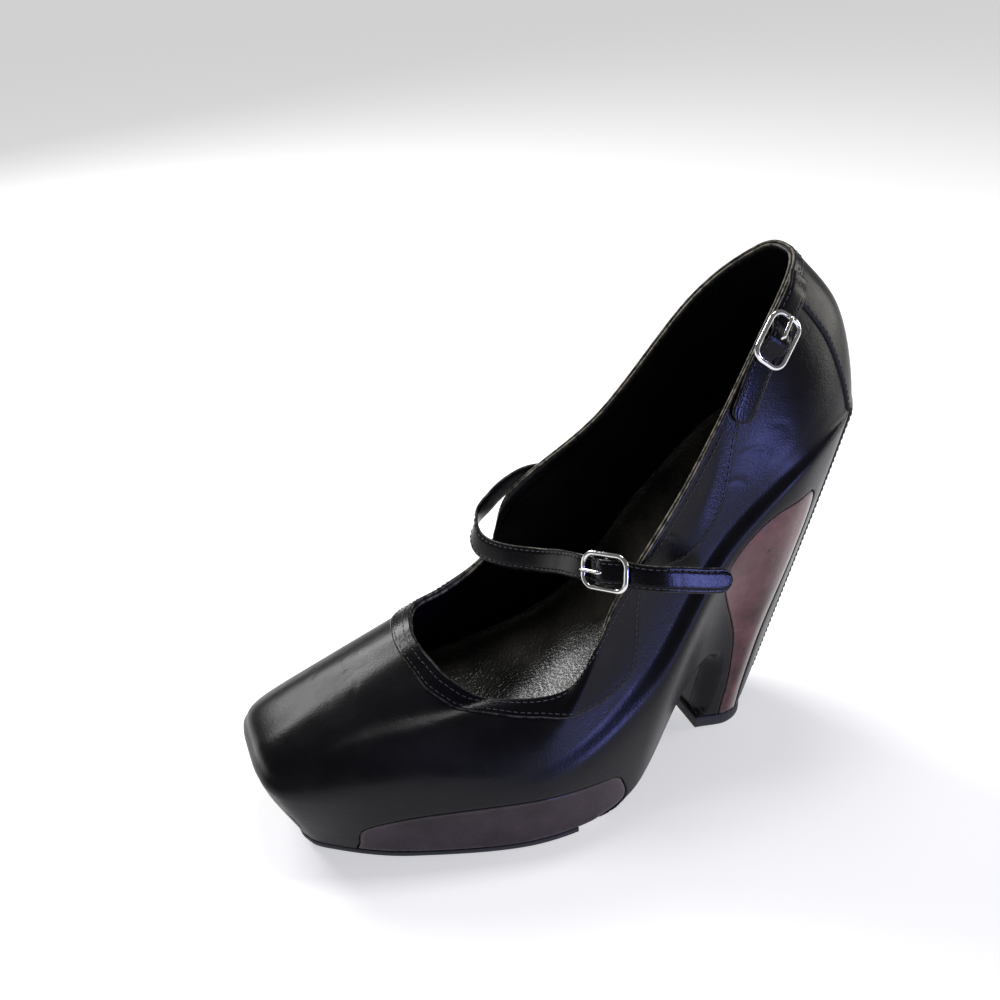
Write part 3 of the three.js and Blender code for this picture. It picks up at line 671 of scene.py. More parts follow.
@dataclass(frozen=True)
class Panel:
    """A piece of leather or plate that lies on the skin, cut along lines and rounded at its edges."""

    last: Last
    outer: Cut
    holes: Sequence[Cut] = ()
    thick: float = 1.2 * MM
    rise: float = 0.0
    spacing: float = 1.4 * MM
    relief: Callable[[Array, Array, Array], Array] | None = None
    rim_wear: float = 0.0
    marks: Callable[[Array], Array] | None = None

    STATION = 30.0
    LEVEL = 35.0
    RINGS = (0.18, 0.4, 0.7, 1.0)

    def flat(self, line: Array) -> Array:
        """Places laid out flat, with about the skin's own proportions."""
        return line * np.array([self.STATION, self.LEVEL])

    def inside(self, places: Array) -> Array:
        """Whether places lie in the outer line and in no hole."""
        keep = self.in_loop(places, self.outer.line)
        for hole in self.holes:
            keep &= ~self.in_loop(places, hole.line)
        return keep

    @staticmethod
    def in_loop(places: Array, loop: Array) -> Array:
        """Whether places lie in a closed line."""
        low, high = loop.min(0), loop.max(0)
        inside = np.zeros(len(places), bool)
        near = np.flatnonzero(((places >= low) & (places <= high)).all(1))
        start, end = loop, np.roll(loop, -1, 0)
        rise = np.where(end[:, 1] == start[:, 1], 1e-12, end[:, 1] - start[:, 1])
        for part in np.array_split(near, max(len(near) // 4000, 1)):
            p = places[part]
            spans = (start[:, 1] > p[:, 1:2]) != (end[:, 1] > p[:, 1:2])
            cross = start[:, 0] + (p[:, 1:2] - start[:, 1]) / rise * (end[:, 0] - start[:, 0])
            inside[part] = (spans & (p[:, 0:1] < cross)).sum(1) % 2 == 1
        return inside

    def grid(self) -> Array:
        """Places all over the outer line's box, evenly spaced over the skin."""
        low, high = self.outer.line.min(0), self.outer.line.max(0)
        u = np.linspace(low[0], high[0], 1200)
        v = np.linspace(max(low[1], 0), high[1], 200)
        lengths = [np.linalg.norm(np.diff(self.last.at(u, np.full_like(u, level))[0], axis=0), axis=1)
                   for level in np.linspace(v[0], v[-1], 3)]
        run = np.concatenate([[0], np.cumsum(np.max(lengths, axis=0))])
        columns = np.interp(np.arange(0, run[-1], self.spacing), run, u)
        spokes = [np.linalg.norm(np.diff(self.last.at(np.full_like(v, s), v)[0], axis=0), axis=1)
                  for s in np.linspace(low[0], high[0], 25)]
        climb = np.concatenate([[0], np.cumsum(np.percentile(spokes, 80, axis=0))])
        rows = np.interp(np.arange(0, climb[-1], self.spacing), climb, v)
        uu, vv = np.meshgrid(columns, rows)
        return np.stack([uu.ravel(), vv.ravel()], 1)

    def edge_samples(self) -> tuple[Array, Array, Array]:
        """Points along every cut edge with the rounding and dip there."""
        places, rounds, dips = [], [], []
        for cut in (self.outer, *self.holes):
            keep = np.ones(len(cut.line), bool) if cut.within is None else cut.within(cut.line)
            places.append(self.last.at(cut.line[keep, 0], cut.line[keep, 1])[0])
            rounds.append(np.broadcast_to(cut.round_over, len(cut.line))[keep])
            dips.append(np.broadcast_to(cut.dip, len(cut.line))[keep])
        return np.vstack(places), np.concatenate(rounds), np.concatenate(dips)

    def build(self) -> Shell:
        """Cuts the panel out and gives it its thickness."""
        samples, rounds, dips = self.edge_samples()
        loops, free = [], []
        for cut, keeps_left in ((self.outer, True), *((hole, False) for hole in self.holes)):
            loops.append(cut.line)
            area = np.cross(self.flat(cut.line), np.roll(self.flat(cut.line), -1, 0)).sum()
            side = 1 if (area > 0) == keeps_left else -1
            direction = self.last.inward(cut.line) * side
            wide = np.broadcast_to(cut.round_over, len(cut.line))
            for share in self.RINGS:
                ring = self.last.step(cut.line, direction, wide * share)
                gap = nearest(self.last.at(ring[:, 0], ring[:, 1])[0], samples)[0]
                free.append(ring[gap > 0.8 * share * wide])
        grid = self.grid()
        grid = grid[self.inside(grid)]
        gap, edge = nearest(self.last.at(grid[:, 0], grid[:, 1])[0], samples)
        free.append(grid[gap > rounds[edge] + 0.5 * self.spacing])
        points = np.vstack([*loops, *free])
        edges, start = [], 0
        for loop in loops:
            edges += [(start + i, start + (i + 1) % len(loop)) for i in range(len(loop))]
            start += len(loop)
        corners = [Vector(point) for point in self.flat(points)]
        flat, _, faces, *_ = geometry.delaunay_2d_cdt(corners, edges, [], 0, 1e-6)
        places = np.array([tuple(p) for p in flat]) / np.array([self.STATION, self.LEVEL])
        faces = np.array(faces)
        faces = faces[self.inside(places[faces].mean(1))]
        used, faces = np.unique(faces, return_inverse=True)
        return self.thicken(places[used], faces.reshape(-1, 3), samples, rounds, dips)

    def thicken(self, places: Array, faces: Array, samples: Array, rounds: Array, dips: Array) -> Shell:
        """Lifts the cut faces off the skin and closes them below and round the edge."""
        place, normal, _, _ = self.last.at(places[:, 0], places[:, 1])
        gap, edge = nearest(place, samples)
        share = np.clip(gap / np.maximum(rounds[edge], 1e-9), 0, 1)
        height = self.rise - dips[edge] * (1 - np.sqrt(1 - (1 - share) ** 2))
        if self.relief is not None:
            height = height + self.relief(places, place, gap)
        top = place + normal * height[:, None]
        depth = np.minimum(height - 0.3 * MM, self.rise - self.thick)
        under = place + normal * depth[:, None]
        count = len(places)
        pairs = np.vstack([faces[:, [0, 1]], faces[:, [1, 2]], faces[:, [2, 0]]])
        known = {(a, b) for a, b in pairs.tolist()}
        rim = [(a, b) for a, b in known if (b, a) not in known]
        walls = [(b, a, a + count, b + count) for a, b in rim]
        body = faces.tolist() + (faces[:, ::-1] + count).tolist() + walls
        wear_and_highlight = self.rim_wear * (1 - smooth_step(0, 1.2 * MM, gap))
        if self.marks is not None:
            wear_and_highlight = np.maximum(wear_and_highlight, self.marks(place))
        return Shell(np.vstack([top, under]), body, np.tile(wear_and_highlight, 2))


@dataclass(frozen=True)
class Crease:
    """A soft trough across the skin, or a ridge where its depth is below zero."""

    path: Sequence[tuple[float, float]]
    width: float
    depth: float

    def at(self, last: Last, points: Array) -> Array:
        """How far the crease pushes points in; it fades out at both ends."""
        line = np.array(self.path, float)
        at = np.linspace(0, len(line) - 1, 40)
        places, _ = smooth_line(line, at)
        samples = last.at(places[:, 0], places[:, 1])[0]
        reach = 3 * self.width
        near = np.flatnonzero(((points > samples.min(0) - reach) & (points < samples.max(0) + reach)).all(1))
        push = np.zeros(len(points))
        if len(near):
            gap, number = nearest(points[near], samples)
            fade = np.sin(np.pi * np.clip(number / (len(at) - 1), 0.02, 0.98)) ** 0.6
            push[near] = self.depth * fade * np.exp(-((gap / self.width) ** 2))
        return push


@dataclass(frozen=True)
class Tables:
    """Lines drawn on the shoe, in shares of its own sizes."""

    # along of the length, height of the seat: the cut-out from the ball over the arch and down the breast
    ARCH = (
        (0.440, -0.04), (0.468, 0.000), (0.505, 0.007), (0.550, 0.022), (0.590, 0.050), (0.630, 0.110),
        (0.662, 0.175), (0.690, 0.228), (0.718, 0.278), (0.742, 0.318), (0.758, 0.325), (0.767, 0.290),
        (0.764, 0.200), (0.757, 0.100), (0.752, 0.000), (0.751, -0.04),
    )
    # along of the length, height of the seat
    HEEL_PLATE = (
        (0.905, 0.915), (0.865, 0.905), (0.827, 0.885), (0.782, 0.820), (0.752, 0.745), (0.749, 0.675),
        (0.764, 0.590), (0.780, 0.510), (0.794, 0.420), (0.800, 0.300), (0.800, 0.180), (0.795, 0.075),
        (0.797, -0.020), (0.825, -0.020), (0.834, 0.180), (0.854, 0.420), (0.892, 0.660), (0.913, 0.840),
    )
    # along of the length, height of the platform
    BALL_PLATE = (
        (0.140, 0.350), (0.150, 0.640), (0.200, 0.820), (0.280, 0.920), (0.360, 0.960), (0.433, 0.940),
        (0.500, 0.870), (0.537, 0.780), (0.550, 0.600), (0.558, 0.330), (0.548, 0.175), (0.508, 0.110),
        (0.470, 0.040), (0.435, -0.150), (0.300, -0.400), (0.150, -0.200),
    )
    # station, level of the collar band's lower seam
    COLLAR_SEAM = (
        (0, 3.87), (2, 3.86), (3.4, 3.80), (4.0, 3.68), (4.5, 3.62), (4.9, 3.52), (5.2, 3.24),
        (5.45, 2.82), (5.7, 2.38), (5.95, 2.25), (6.15, 2.70), (6.35, 3.55), (6.55, 3.20),
        (6.75, 2.60), (7, 2.38), (7.25, 2.66), (7.55, 3.50),
        (8.2, 3.76), (10, 3.78), (11.8, 3.76), (12.8, 3.45), (13.6, 2.95), (14.4, 2.90), (15.4, 3.35),
        (16.4, 3.76), (18, 3.85), (20, 3.87),
    )
    # level, station of the back strip's edge
    BACK_STRIP = ((0, 8.95), (1, 8.92), (2, 8.82), (2.6, 8.72), (3.2, 8.68), (4, 8.68))


def seam_level(station: Array) -> Array:
    """Level of the collar band's lower seam."""
    return look_up(Tables.COLLAR_SEAM, np.mod(station, Last.STATIONS))


def side_line(last: Last, rows: Rows, height: float, side: Side, closed: bool, count: int = 240) -> Array:
    """A line drawn in the side view, brought on to the skin.

    Args:
        last: The shoe's form.
        rows: Rows of along and height.
        height: What the rows' heights are shares of.
        side: Which side of the shoe.
        closed: Whether the line ends where it starts.
        count: How many places to find.

    Returns:
        Places (station, level).
    """
    table = np.array(rows, float) * np.array([last.length, height])
    last_row = len(table) if closed else len(table) - 1
    at = np.linspace(0, last_row, count, endpoint=not closed)
    line, _ = smooth_line(table, at, closed)
    return last.seen_from_side(line[:, 0], line[:, 1], side)


@dataclass
class Wedge:
    """The cut-out under the arch and the leather that covers it."""

    last: Last
    edge_round: float = 1.5 * MM
    breast_round: float = 7.5 * MM
    cover: float = 1.2 * MM
    start: float = 0.45
    finish: float = 0.8

    def rounding(self, share: Array) -> Array:
        """Rounding of the cut-out's edge along its line."""
        more = smooth_step(self.start, self.finish, share)
        return self.edge_round + (self.breast_round - self.edge_round) * more

    def line(self, side: Side) -> tuple[Array, Array]:
        """The cut-out's edge on one side, and its rounding."""
        count = 260
        table = np.array(Tables.ARCH, float) * np.array([self.last.length, self.last.seat])
        share = np.linspace(0, 1, count)
        seen, _ = smooth_line(table, share * (len(table) - 1))
        keep = seen[:, 1] > self.last.outsole * 0.6
        found = self.last.seen_from_side(seen[keep, 0], seen[keep, 1], side)
        found[:, 1] = np.maximum(found[:, 1], -0.05)
        return found, self.rounding(share[keep])

    def cut(self, side: Side) -> Cut:
        """The cut-out as a hole in the skin, closed below its lower edge."""
        line, rounding = self.line(side)
        below = np.array([[line[-1, 0], -0.15], [line[0, 0], -0.15]])
        full = np.vstack([line, below])
        size = np.concatenate([rounding, [1.0 * MM, 1.0 * MM]])
        return Cut(full, size, size, within=lambda places: places[:, 1] > -0.02)

    def build(self) -> None:
        """Makes the leather that lines the cut-out."""
        edges = []
        for side in (Side.MEDIAL, Side.LATERAL):
            line, rounding = self.line(side)
            run = np.linspace(0, len(line) - 1, 200)
            u = np.interp(run, np.arange(len(line)), line[:, 0])
            v = np.interp(run, np.arange(len(line)), line[:, 1])
            r = np.interp(run, np.arange(len(line)), rounding)
            edges.append(self.last.off(u, v, -r))
        across = np.linspace(0, 1, 40)
        seen = edges[0][:, None] * (1 - across)[None, :, None] + edges[1][:, None] * across[None, :, None]
        normal = unit(np.cross(np.gradient(seen, axis=0), np.gradient(seen, axis=1)))
        if normal[100, 20] @ np.array([0, -0.6, 0.8]) > 0:
            normal = -normal
        back = seen - normal * self.cover
        rings = np.concatenate([seen, back[:, ::-1]], axis=1)
        sweep(rings).piece("arch_cover_leather", VAMP, "arch_cover")


@dataclass
class Upper:
    """The leather skin from the topline to the sole, and the lining in it."""

    last: Last
    wedge: Wedge
    groove: float = 0.35 * MM
    thick: float = 1.2 * MM
    wall: float = 1.8 * MM
    spacing: float = 1.46 * MM

    CREASES = (
        # beside the throat, in front of the band
        Crease(((18.9, 3.62), (19.6, 3.55), (0.4, 3.48)), 0.8 * MM, 0.16 * MM),
        Crease(((19.3, 3.45), (19.9, 3.36), (0.9, 3.34)), 0.9 * MM, 0.14 * MM),
        Crease(((0.6, 3.62), (1.5, 3.50), (2.3, 3.45)), 0.8 * MM, 0.14 * MM),
        Crease(((2.9, 3.45), (3.3, 3.25), (3.6, 3.10)), 0.8 * MM, 0.12 * MM),
        # over the vamp's side, where the foot bends
        Crease(((3.6, 2.60), (4.2, 2.50), (4.9, 2.20)), 3.0 * MM, 0.22 * MM),
        Crease(((4.0, 2.30), (4.6, 2.10), (5.2, 1.85)), 3.0 * MM, -0.2 * MM),
        Crease(((16.4, 2.40), (15.8, 2.20), (15.2, 2.05)), 3.0 * MM, 0.2 * MM),
        # pleat where the leather is drawn round the toe's corner
        Crease(((2.10, 1.15), (2.15, 0.80), (2.22, 0.45), (2.3, 0.0)), 0.45 * MM, 0.5 * MM),
        Crease(((18.0, 1.10), (17.9, 0.70), (17.8, 0.30)), 0.45 * MM, 0.4 * MM),
        # quarter and heel
        Crease(((7.15, 3.0), (7.35, 2.70), (7.40, 2.40)), 0.8 * MM, 0.14 * MM),
        Crease(((7.45, 3.05), (7.62, 2.75), (7.66, 2.45)), 0.8 * MM, 0.14 * MM),
        Crease(((7.75, 2.95), (7.86, 2.70), (7.84, 2.50)), 0.9 * MM, 0.12 * MM),
        Crease(((7.2, 2.05), (7.8, 2.10), (8.4, 2.30)), 2.6 * MM, 0.2 * MM),
        Crease(((13.2, 2.20), (12.6, 2.10), (11.8, 2.20)), 2.6 * MM, 0.2 * MM),
    )

    def outline(self) -> Array:
        """The skin's own border: lower edge, heel's centre, a line just over the band's seam, and back."""
        low = np.stack([np.linspace(-10, 10, 900), np.zeros(900)], 1)
        high_at = np.linspace(10, -10, 900)
        high = np.stack([high_at, np.minimum(seam_level(high_at) + 0.12, 3.97)], 1)
        right = np.stack([np.full(60, 10.0), np.linspace(0, high[0, 1], 60)], 1)
        left = np.stack([np.full(60, -10.0), np.linspace(high[-1, 1], 0, 60)], 1)
        parts = [self.last.even(part, 1.2 * MM)[:-1] for part in (low, right, high, left)]
        return np.vstack(parts)

    def relief(self, places: Array, points: Array, gap: Array) -> Array:
        """How far the creases lift the skin."""
        return -sum(crease.at(self.last, points) for crease in self.CREASES)

    def build(self) -> None:
        """Makes the skin and the lining."""
        windows = [Cut(plate.line(self.groove), 0.7 * MM, 0.55 * MM) for plate in plates(self.last)]
        arches = [self.wedge.cut(side) for side in Side]
        outer = Cut(self.outline(), 0.6 * MM, 0.35 * MM, within=lambda places: places[:, 1] < 0.01)
        skin = Panel(self.last, outer, [*windows, *arches], self.thick, spacing=self.spacing,
                     relief=self.relief)
        skin.build().piece("upper_skin", VAMP, "upper")
        self.lining()

    def lining(self) -> None:
        """Makes the lining, from under the insole up to the topline's fold."""
        u = np.linspace(0, Last.STATIONS, 460, endpoint=False)
        levels = np.linspace(0.9, 3.9, 60)
        uu, vv = np.meshgrid(u, levels)
        inner = self.last.off(uu, vv, -np.full(uu.shape, self.wall))
        outer = self.last.off(uu, vv, -np.full(uu.shape, self.wall - 0.4 * MM))
        rings = np.concatenate([outer, inner[::-1]]).transpose(1, 0, 2)
        sweep(rings, closed_ends=True).piece("upper_lining", LINING)


@dataclass(frozen=True)
class PlateInlay:
    """One glossy plate let into the skin."""

    last: Last
    name: str
    rows: Rows
    height: float
    side: Side
    finish: Finish
    recess: float = 0.1 * MM
    band: float = 0.0

    def paler(self, points: Array) -> Array:
        """How much paler the lacquer is along the plate's rear edge."""
        outline = self.line(0)
        rear = outline[int(0.74 * len(outline)):int(0.98 * len(outline))]
        gap = nearest(points, self.last.at(rear[:, 0], rear[:, 1])[0])[0]
        return 0.9 * np.exp(-((gap / self.band) ** 2))

    def line(self, grow: float) -> Array:
        """The plate's outline on the skin, moved outwards by grow."""
        line = side_line(self.last, self.rows, self.height, self.side, True)
        area = np.cross(line, np.roll(line, -1, 0)).sum()
        outward = -self.last.inward(line) * (1 if area > 0 else -1)
        return self.last.step(line, outward, grow)

    def build(self) -> None:
        """Makes the plate."""
        line = self.line(-0.1 * MM)
        line[:, 1] = np.maximum(line[:, 1], 0)
        cut = Cut(line, 0.6 * MM, 0.5 * MM)
        marks = self.paler if self.band else None
        panel = Panel(self.last, cut, thick=1.4 * MM, rise=-self.recess, rim_wear=0.12, marks=marks)
        panel.build().piece(self.name + "_lacquered", self.finish, self.name)


def plates(last: Last) -> list[PlateInlay]:
    """The four plates."""
    return [
        PlateInlay(last, f"{kind}_plate_{side.name.lower()}", rows, height, side, finish, band=band)
        for kind, rows, height, finish, band in (
            ("heel", Tables.HEEL_PLATE, last.seat, PLATE, 2.6 * MM),
            ("ball", Tables.BALL_PLATE, last.platform, BALL_LACQUER, 0.0),
        )
        for side in Side
    ]


@dataclass
class CollarBand:
    """The band round throat and collar: one strip, folded over the topline and down on to the lining."""

    last: Last
    height: float = 1.0 * MM
    wall: float = 1.9 * MM
    fold: float = 5 * MM
    lip: float = 0.95 * MM
    seam_round: float = 0.8 * MM
    worn_width: float = 0.42 * MM
    columns: int = 900
    rows: int = 24
    lip_rows: int = 27

    # the topline's two lips, the band's fold and the lining's: middle across the edge, and half width
    LIPS = ((0.28 * MM, 0.74 * MM), (-1.20 * MM, 0.72 * MM))

    CREASES = (
        Crease(((6.75, 3.95), (6.85, 3.60), (6.90, 3.25)), 0.5 * MM, 0.22 * MM),
        Crease(((6.90, 3.95), (6.98, 3.62), (7.02, 3.30)), 0.5 * MM, 0.22 * MM),
        Crease(((7.03, 3.92), (7.10, 3.62), (7.13, 3.30)), 0.5 * MM, 0.20 * MM),
        Crease(((6.62, 3.95), (6.70, 3.60), (6.78, 3.20)), 0.5 * MM, 0.20 * MM),
        Crease(((7.4, 3.80), (7.2, 3.20), (6.9, 2.80)), 4.0 * MM, 0.5 * MM),
    )

    def build(self) -> None:
        """Makes the band."""
        u = np.linspace(0, Last.STATIONS, self.columns, endpoint=False)
        seam = seam_level(u)
        _, _, _, up = self.last.at(u, np.full_like(u, 3.9))
        per_metre = 1 / np.linalg.norm(up, axis=1)
        _, _, _, seam_up = self.last.at(u, seam)
        seam_per_metre = 1 / np.linalg.norm(seam_up, axis=1)
        levels, heights, wears = [], [], []

        def row(level: Array, height: Array | float, wear_and_highlight: float = 0.0) -> None:
            levels.append(level)
            heights.append(np.broadcast_to(height, u.shape))
            wears.append(np.full_like(u, wear_and_highlight))

        row(seam, -0.3 * MM)
        for share in (0.0, 0.15, 0.4, 0.7, 1.0):
            step = self.seam_round * share
            high = self.height * math.sqrt(1 - (1 - share) ** 2)
            row(seam + step * seam_per_metre, high, 0.35 * (1 - share))
        start = seam + self.seam_round * seam_per_metre
        end = 4 - self.lip * per_metre
        for share in np.linspace(0, 1, self.rows)[1:]:
            row(start + (end - start) * share, self.height)
        for across in np.linspace(self.height, -self.wall, self.lip_rows):
            near = [max(0.0, 1 - ((across - middle) / half) ** 2) for middle, half in self.LIPS]
            pale_edge = sum(math.exp(-(((across - middle) / self.worn_width) ** 2)) for middle, _ in self.LIPS)
            row(end + self.lip * math.sqrt(max(near)) * per_metre, across, 0.95 * pale_edge)
        for share in (0.25, 0.6, 0.95, 1.0):
            row(end - self.fold * share * per_metre, -self.wall + (0.25 * MM if share == 1.0 else 0.0))
        row(end - self.fold * per_metre, -1.2 * MM)
        row(end, -0.7 * MM)
        grid = np.array(levels)
        uu = np.broadcast_to(u, grid.shape)
        points = self.last.at(uu.ravel(), grid.ravel())[0]
        lift = np.array(heights).ravel()
        lift = lift - sum(crease.at(self.last, points) for crease in self.CREASES) * (lift > 0.5 * MM)
        rings = self.last.off(uu.ravel(), grid.ravel(), lift).reshape(*grid.shape, 3).transpose(1, 0, 2)
        wear_and_highlight = np.array(wears).T
        body = sweep(rings[:, ::-1], closed_ends=True, wear_and_highlight=wear_and_highlight[:, ::-1])
        body.piece("collar_band_leather", TRIM, "collar_band")


@dataclass
class BackStrip:
    """The counter strip down the heel's back."""

    last: Last
    height: float = 0.9 * MM

    def line(self) -> Array:
        """The strip's outline, round by its lateral edge, its top under the band and its medial edge."""
        level = np.linspace(0, 3.76, 300)
        edge = look_up(Tables.BACK_STRIP, level)
        lateral = np.stack([edge, level], 1)
        medial = np.stack([20 - edge, level], 1)[::-1]
        across = np.linspace(0, 1, 60)
        top_at = edge[-1] + (20 - 2 * edge[-1]) * across
        top = np.stack([top_at, seam_level(top_at) + 0.04], 1)
        low_at = 20 - edge[0] - (20 - 2 * edge[0]) * across
        low = np.stack([low_at, np.zeros(60)], 1)
        return np.vstack([self.last.even(part, 1.0 * MM)[:-1] for part in (lateral, top, medial, low)])

    def build(self) -> None:
        """Makes the strip."""
        cut = Cut(self.line(), 0.8 * MM, self.height + 0.1 * MM)
        Panel(self.last, cut, thick=self.height + 0.3 * MM, rise=self.height).build().piece(
            "back_strip_leather", VAMP, "back_strip")


@dataclass
class FootBed:
    """The insole: a glossy sock that curls up a little at the lining and has a foot's soft print."""

    last: Last
    thick: float = 3.3 * MM
    inset: float = 2.0 * MM
    curl: float = 1.3 * MM
    curl_reach: float = 2.6 * MM
    full_width: float = 70 * MM
    columns: int = 420
    rows: int = 110

    # share across from the medial edge, share along, how wide, how deep
    PRINT = (
        (0.36, 0.235, 15 * MM, 2.0 * MM), (0.74, 0.285, 15 * MM, 1.5 * MM), (0.30, 0.13, 13 * MM, 1.0 * MM),
        (0.50, 0.88, 22 * MM, 1.6 * MM),
    )
    # the crumpled ridges: places along a line, width and height
    RIDGES = (
        (((0.06, 0.20), (0.22, 0.235), (0.40, 0.27), (0.46, 0.31)), 3.2 * MM, 1.0 * MM),
        (((0.46, 0.27), (0.60, 0.235), (0.66, 0.20), (0.72, 0.165)), 3.4 * MM, 1.3 * MM),
        (((0.62, 0.33), (0.66, 0.36), (0.72, 0.40)), 3.0 * MM, 0.7 * MM),
        (((0.30, 0.34), (0.42, 0.37), (0.50, 0.42)), 4.0 * MM, -0.7 * MM),
        (((0.20, 0.62), (0.36, 0.66), (0.50, 0.72)), 4.5 * MM, 0.8 * MM),
        (((0.62, 0.58), (0.70, 0.63), (0.72, 0.70)), 4.0 * MM, -0.6 * MM),
        (((0.36, 0.76), (0.50, 0.79), (0.66, 0.80)), 4.0 * MM, 0.7 * MM),
    )

    def edge(self, side: Side, rise: Array | float) -> Array:
        """Where the lining meets a height over the foot bed, from toe to heel."""
        u = np.linspace(0.03, 9.97, self.columns) * side.value
        bed = self.last.at(u, np.ones_like(u))[0][:, 2]
        level = np.full_like(u, 1.1)
        for _ in range(8):
            place = self.last.off(u, level, np.full_like(u, -self.inset))
            slope = self.last.at(u, level)[3][:, 2]
            level = level + np.clip((bed + rise - place[:, 2]) / slope, -0.2, 0.2)
        return self.last.off(u, level, np.full_like(u, -self.inset))

    def build(self) -> None:
        """Makes the sock."""
        lateral, medial = self.edge(Side.LATERAL, self.thick), self.edge(Side.MEDIAL, self.thick)
        share = np.linspace(0, 1, self.rows)
        top = medial[:, None] * (1 - share)[None, :, None] + lateral[:, None] * share[None, :, None]
        wide = np.linalg.norm(lateral - medial, axis=1)[:, None]
        edge = np.minimum(share, 1 - share)[None, :] * wide
        along = (top[:, :, 1] - top[:, :, 1].min()) / np.ptp(top[:, :, 1])
        inner = smooth_step(0, 8 * MM, edge)
        lift = self.curl * np.exp(-((edge / self.curl_reach) ** 2))
        full = self.full_width
        for across, place, reach, deep in self.PRINT:
            x = (share[None, :] - across) * wide
            y = (along - place) * self.last.length
            lift = lift - inner * deep * np.exp(-((x**2 + y**2) / reach**2))
        flat = np.stack([(share[None, :] - 0.5) * np.minimum(wide, full), along * self.last.length], 2)
        for path, reach, high in self.RIDGES:
            line, _ = smooth_line(np.array(path, float), np.linspace(0, len(path) - 1, 30))
            column = np.clip((line[:, 1] * (self.columns - 1)).astype(int), 0, self.columns - 1)
            room = np.minimum(wide[column, 0], full)
            spine = np.stack([(line[:, 0] - 0.5) * room, line[:, 1] * self.last.length], 1)
            gap = np.linalg.norm(flat[:, :, None] - spine[None, None], axis=3)
            fade = np.sin(np.pi * np.clip(gap.argmin(2) / 29, 0.04, 0.96)) ** 0.5
            lift = lift + inner**0.5 * high * fade * np.exp(-((gap.min(2) / reach) ** 2))
        top[:, :, 2] += lift
        under = top.copy()
        under[:, :, 2] = (medial[:, None, 2] - self.thick + 0.4 * MM) * np.ones_like(share)[None, :]
        rings = np.concatenate([top, under[:, ::-1]], axis=1)
        wear_and_highlight = np.concatenate([0.35 * np.exp(-((edge / (0.7 * MM)) ** 2)), np.zeros_like(edge)], axis=1)
        # The sock's finish has painted sheen in its colours.
        sweep(rings, wear_and_highlight=wear_and_highlight).piece("insole_sock", SOCK, "insole")


@dataclass
class Sole:
    """Outsole and top lift: slices between the floor and the skin's lower edge, with rounded rims."""

    last: Last
    wedge: Wedge
    sole_end: float = 0.468
    breast: float = 0.752
    round_over: float = 0.35 * MM

    # inset as a share of round_over, height as a share of the slice
    RIM = ((2.0, 0.0), (1.0, 0.0), (0.3, 0.12), (0.0, 0.4), (0.0, 0.75), (0.3, 1.0), (1.0, 1.0), (2.0, 1.0))

    def slice(self, name: str, thick: float, low_y: float, high_y: float) -> None:
        """Makes one slice.

        Args:
            name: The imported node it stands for.
            thick: Its thickness.
            low_y: Where it starts, from the toe's end of the length.
            high_y: Where it ends.
        """
        u = np.linspace(0, Last.STATIONS, 900, endpoint=False)
        place, normal, _, _ = self.last.at(u, np.zeros_like(u))
        flat = unit(normal * np.array([1, 1, 0]))
        low, high = low_y + self.last.shift[1], high_y + self.last.shift[1]
        keep = (place[:, 1] >= low) & (place[:, 1] <= high)
        outline = place[keep]
        out = flat[keep]
        if not keep[0]:
            order = np.arange(len(outline))
        else:
            first = int(np.argmax(~keep[::-1]))
            order = np.roll(np.arange(len(outline)), first)
        outline, out = outline[order], out[order]
        top = outline[:, 2] - self.last.gap * 0.4
        bottom = np.maximum(outline[:, 2] - self.last.gap - thick, 0)
        if name == "top_lift":
            bottom = np.zeros_like(bottom)
        rings = []
        for inset, share in self.RIM:
            ring = outline - out * inset * self.round_over
            ring[:, 2] = bottom + (top - bottom) * share
            rings.append(ring)
        sweep(np.array(rings)).piece(name + "_rubber", RUBBER, name)

    def build(self) -> None:
        """Makes both slices."""
        self.slice("outsole", self.last.outsole, -1, self.sole_end * self.last.length)
        self.slice("top_lift", self.last.top_lift, self.breast * self.last.length, 2)


class StrapKind(Enum):
    """The two straps."""

    INSTEP = "instep"
    HEEL = "heel"


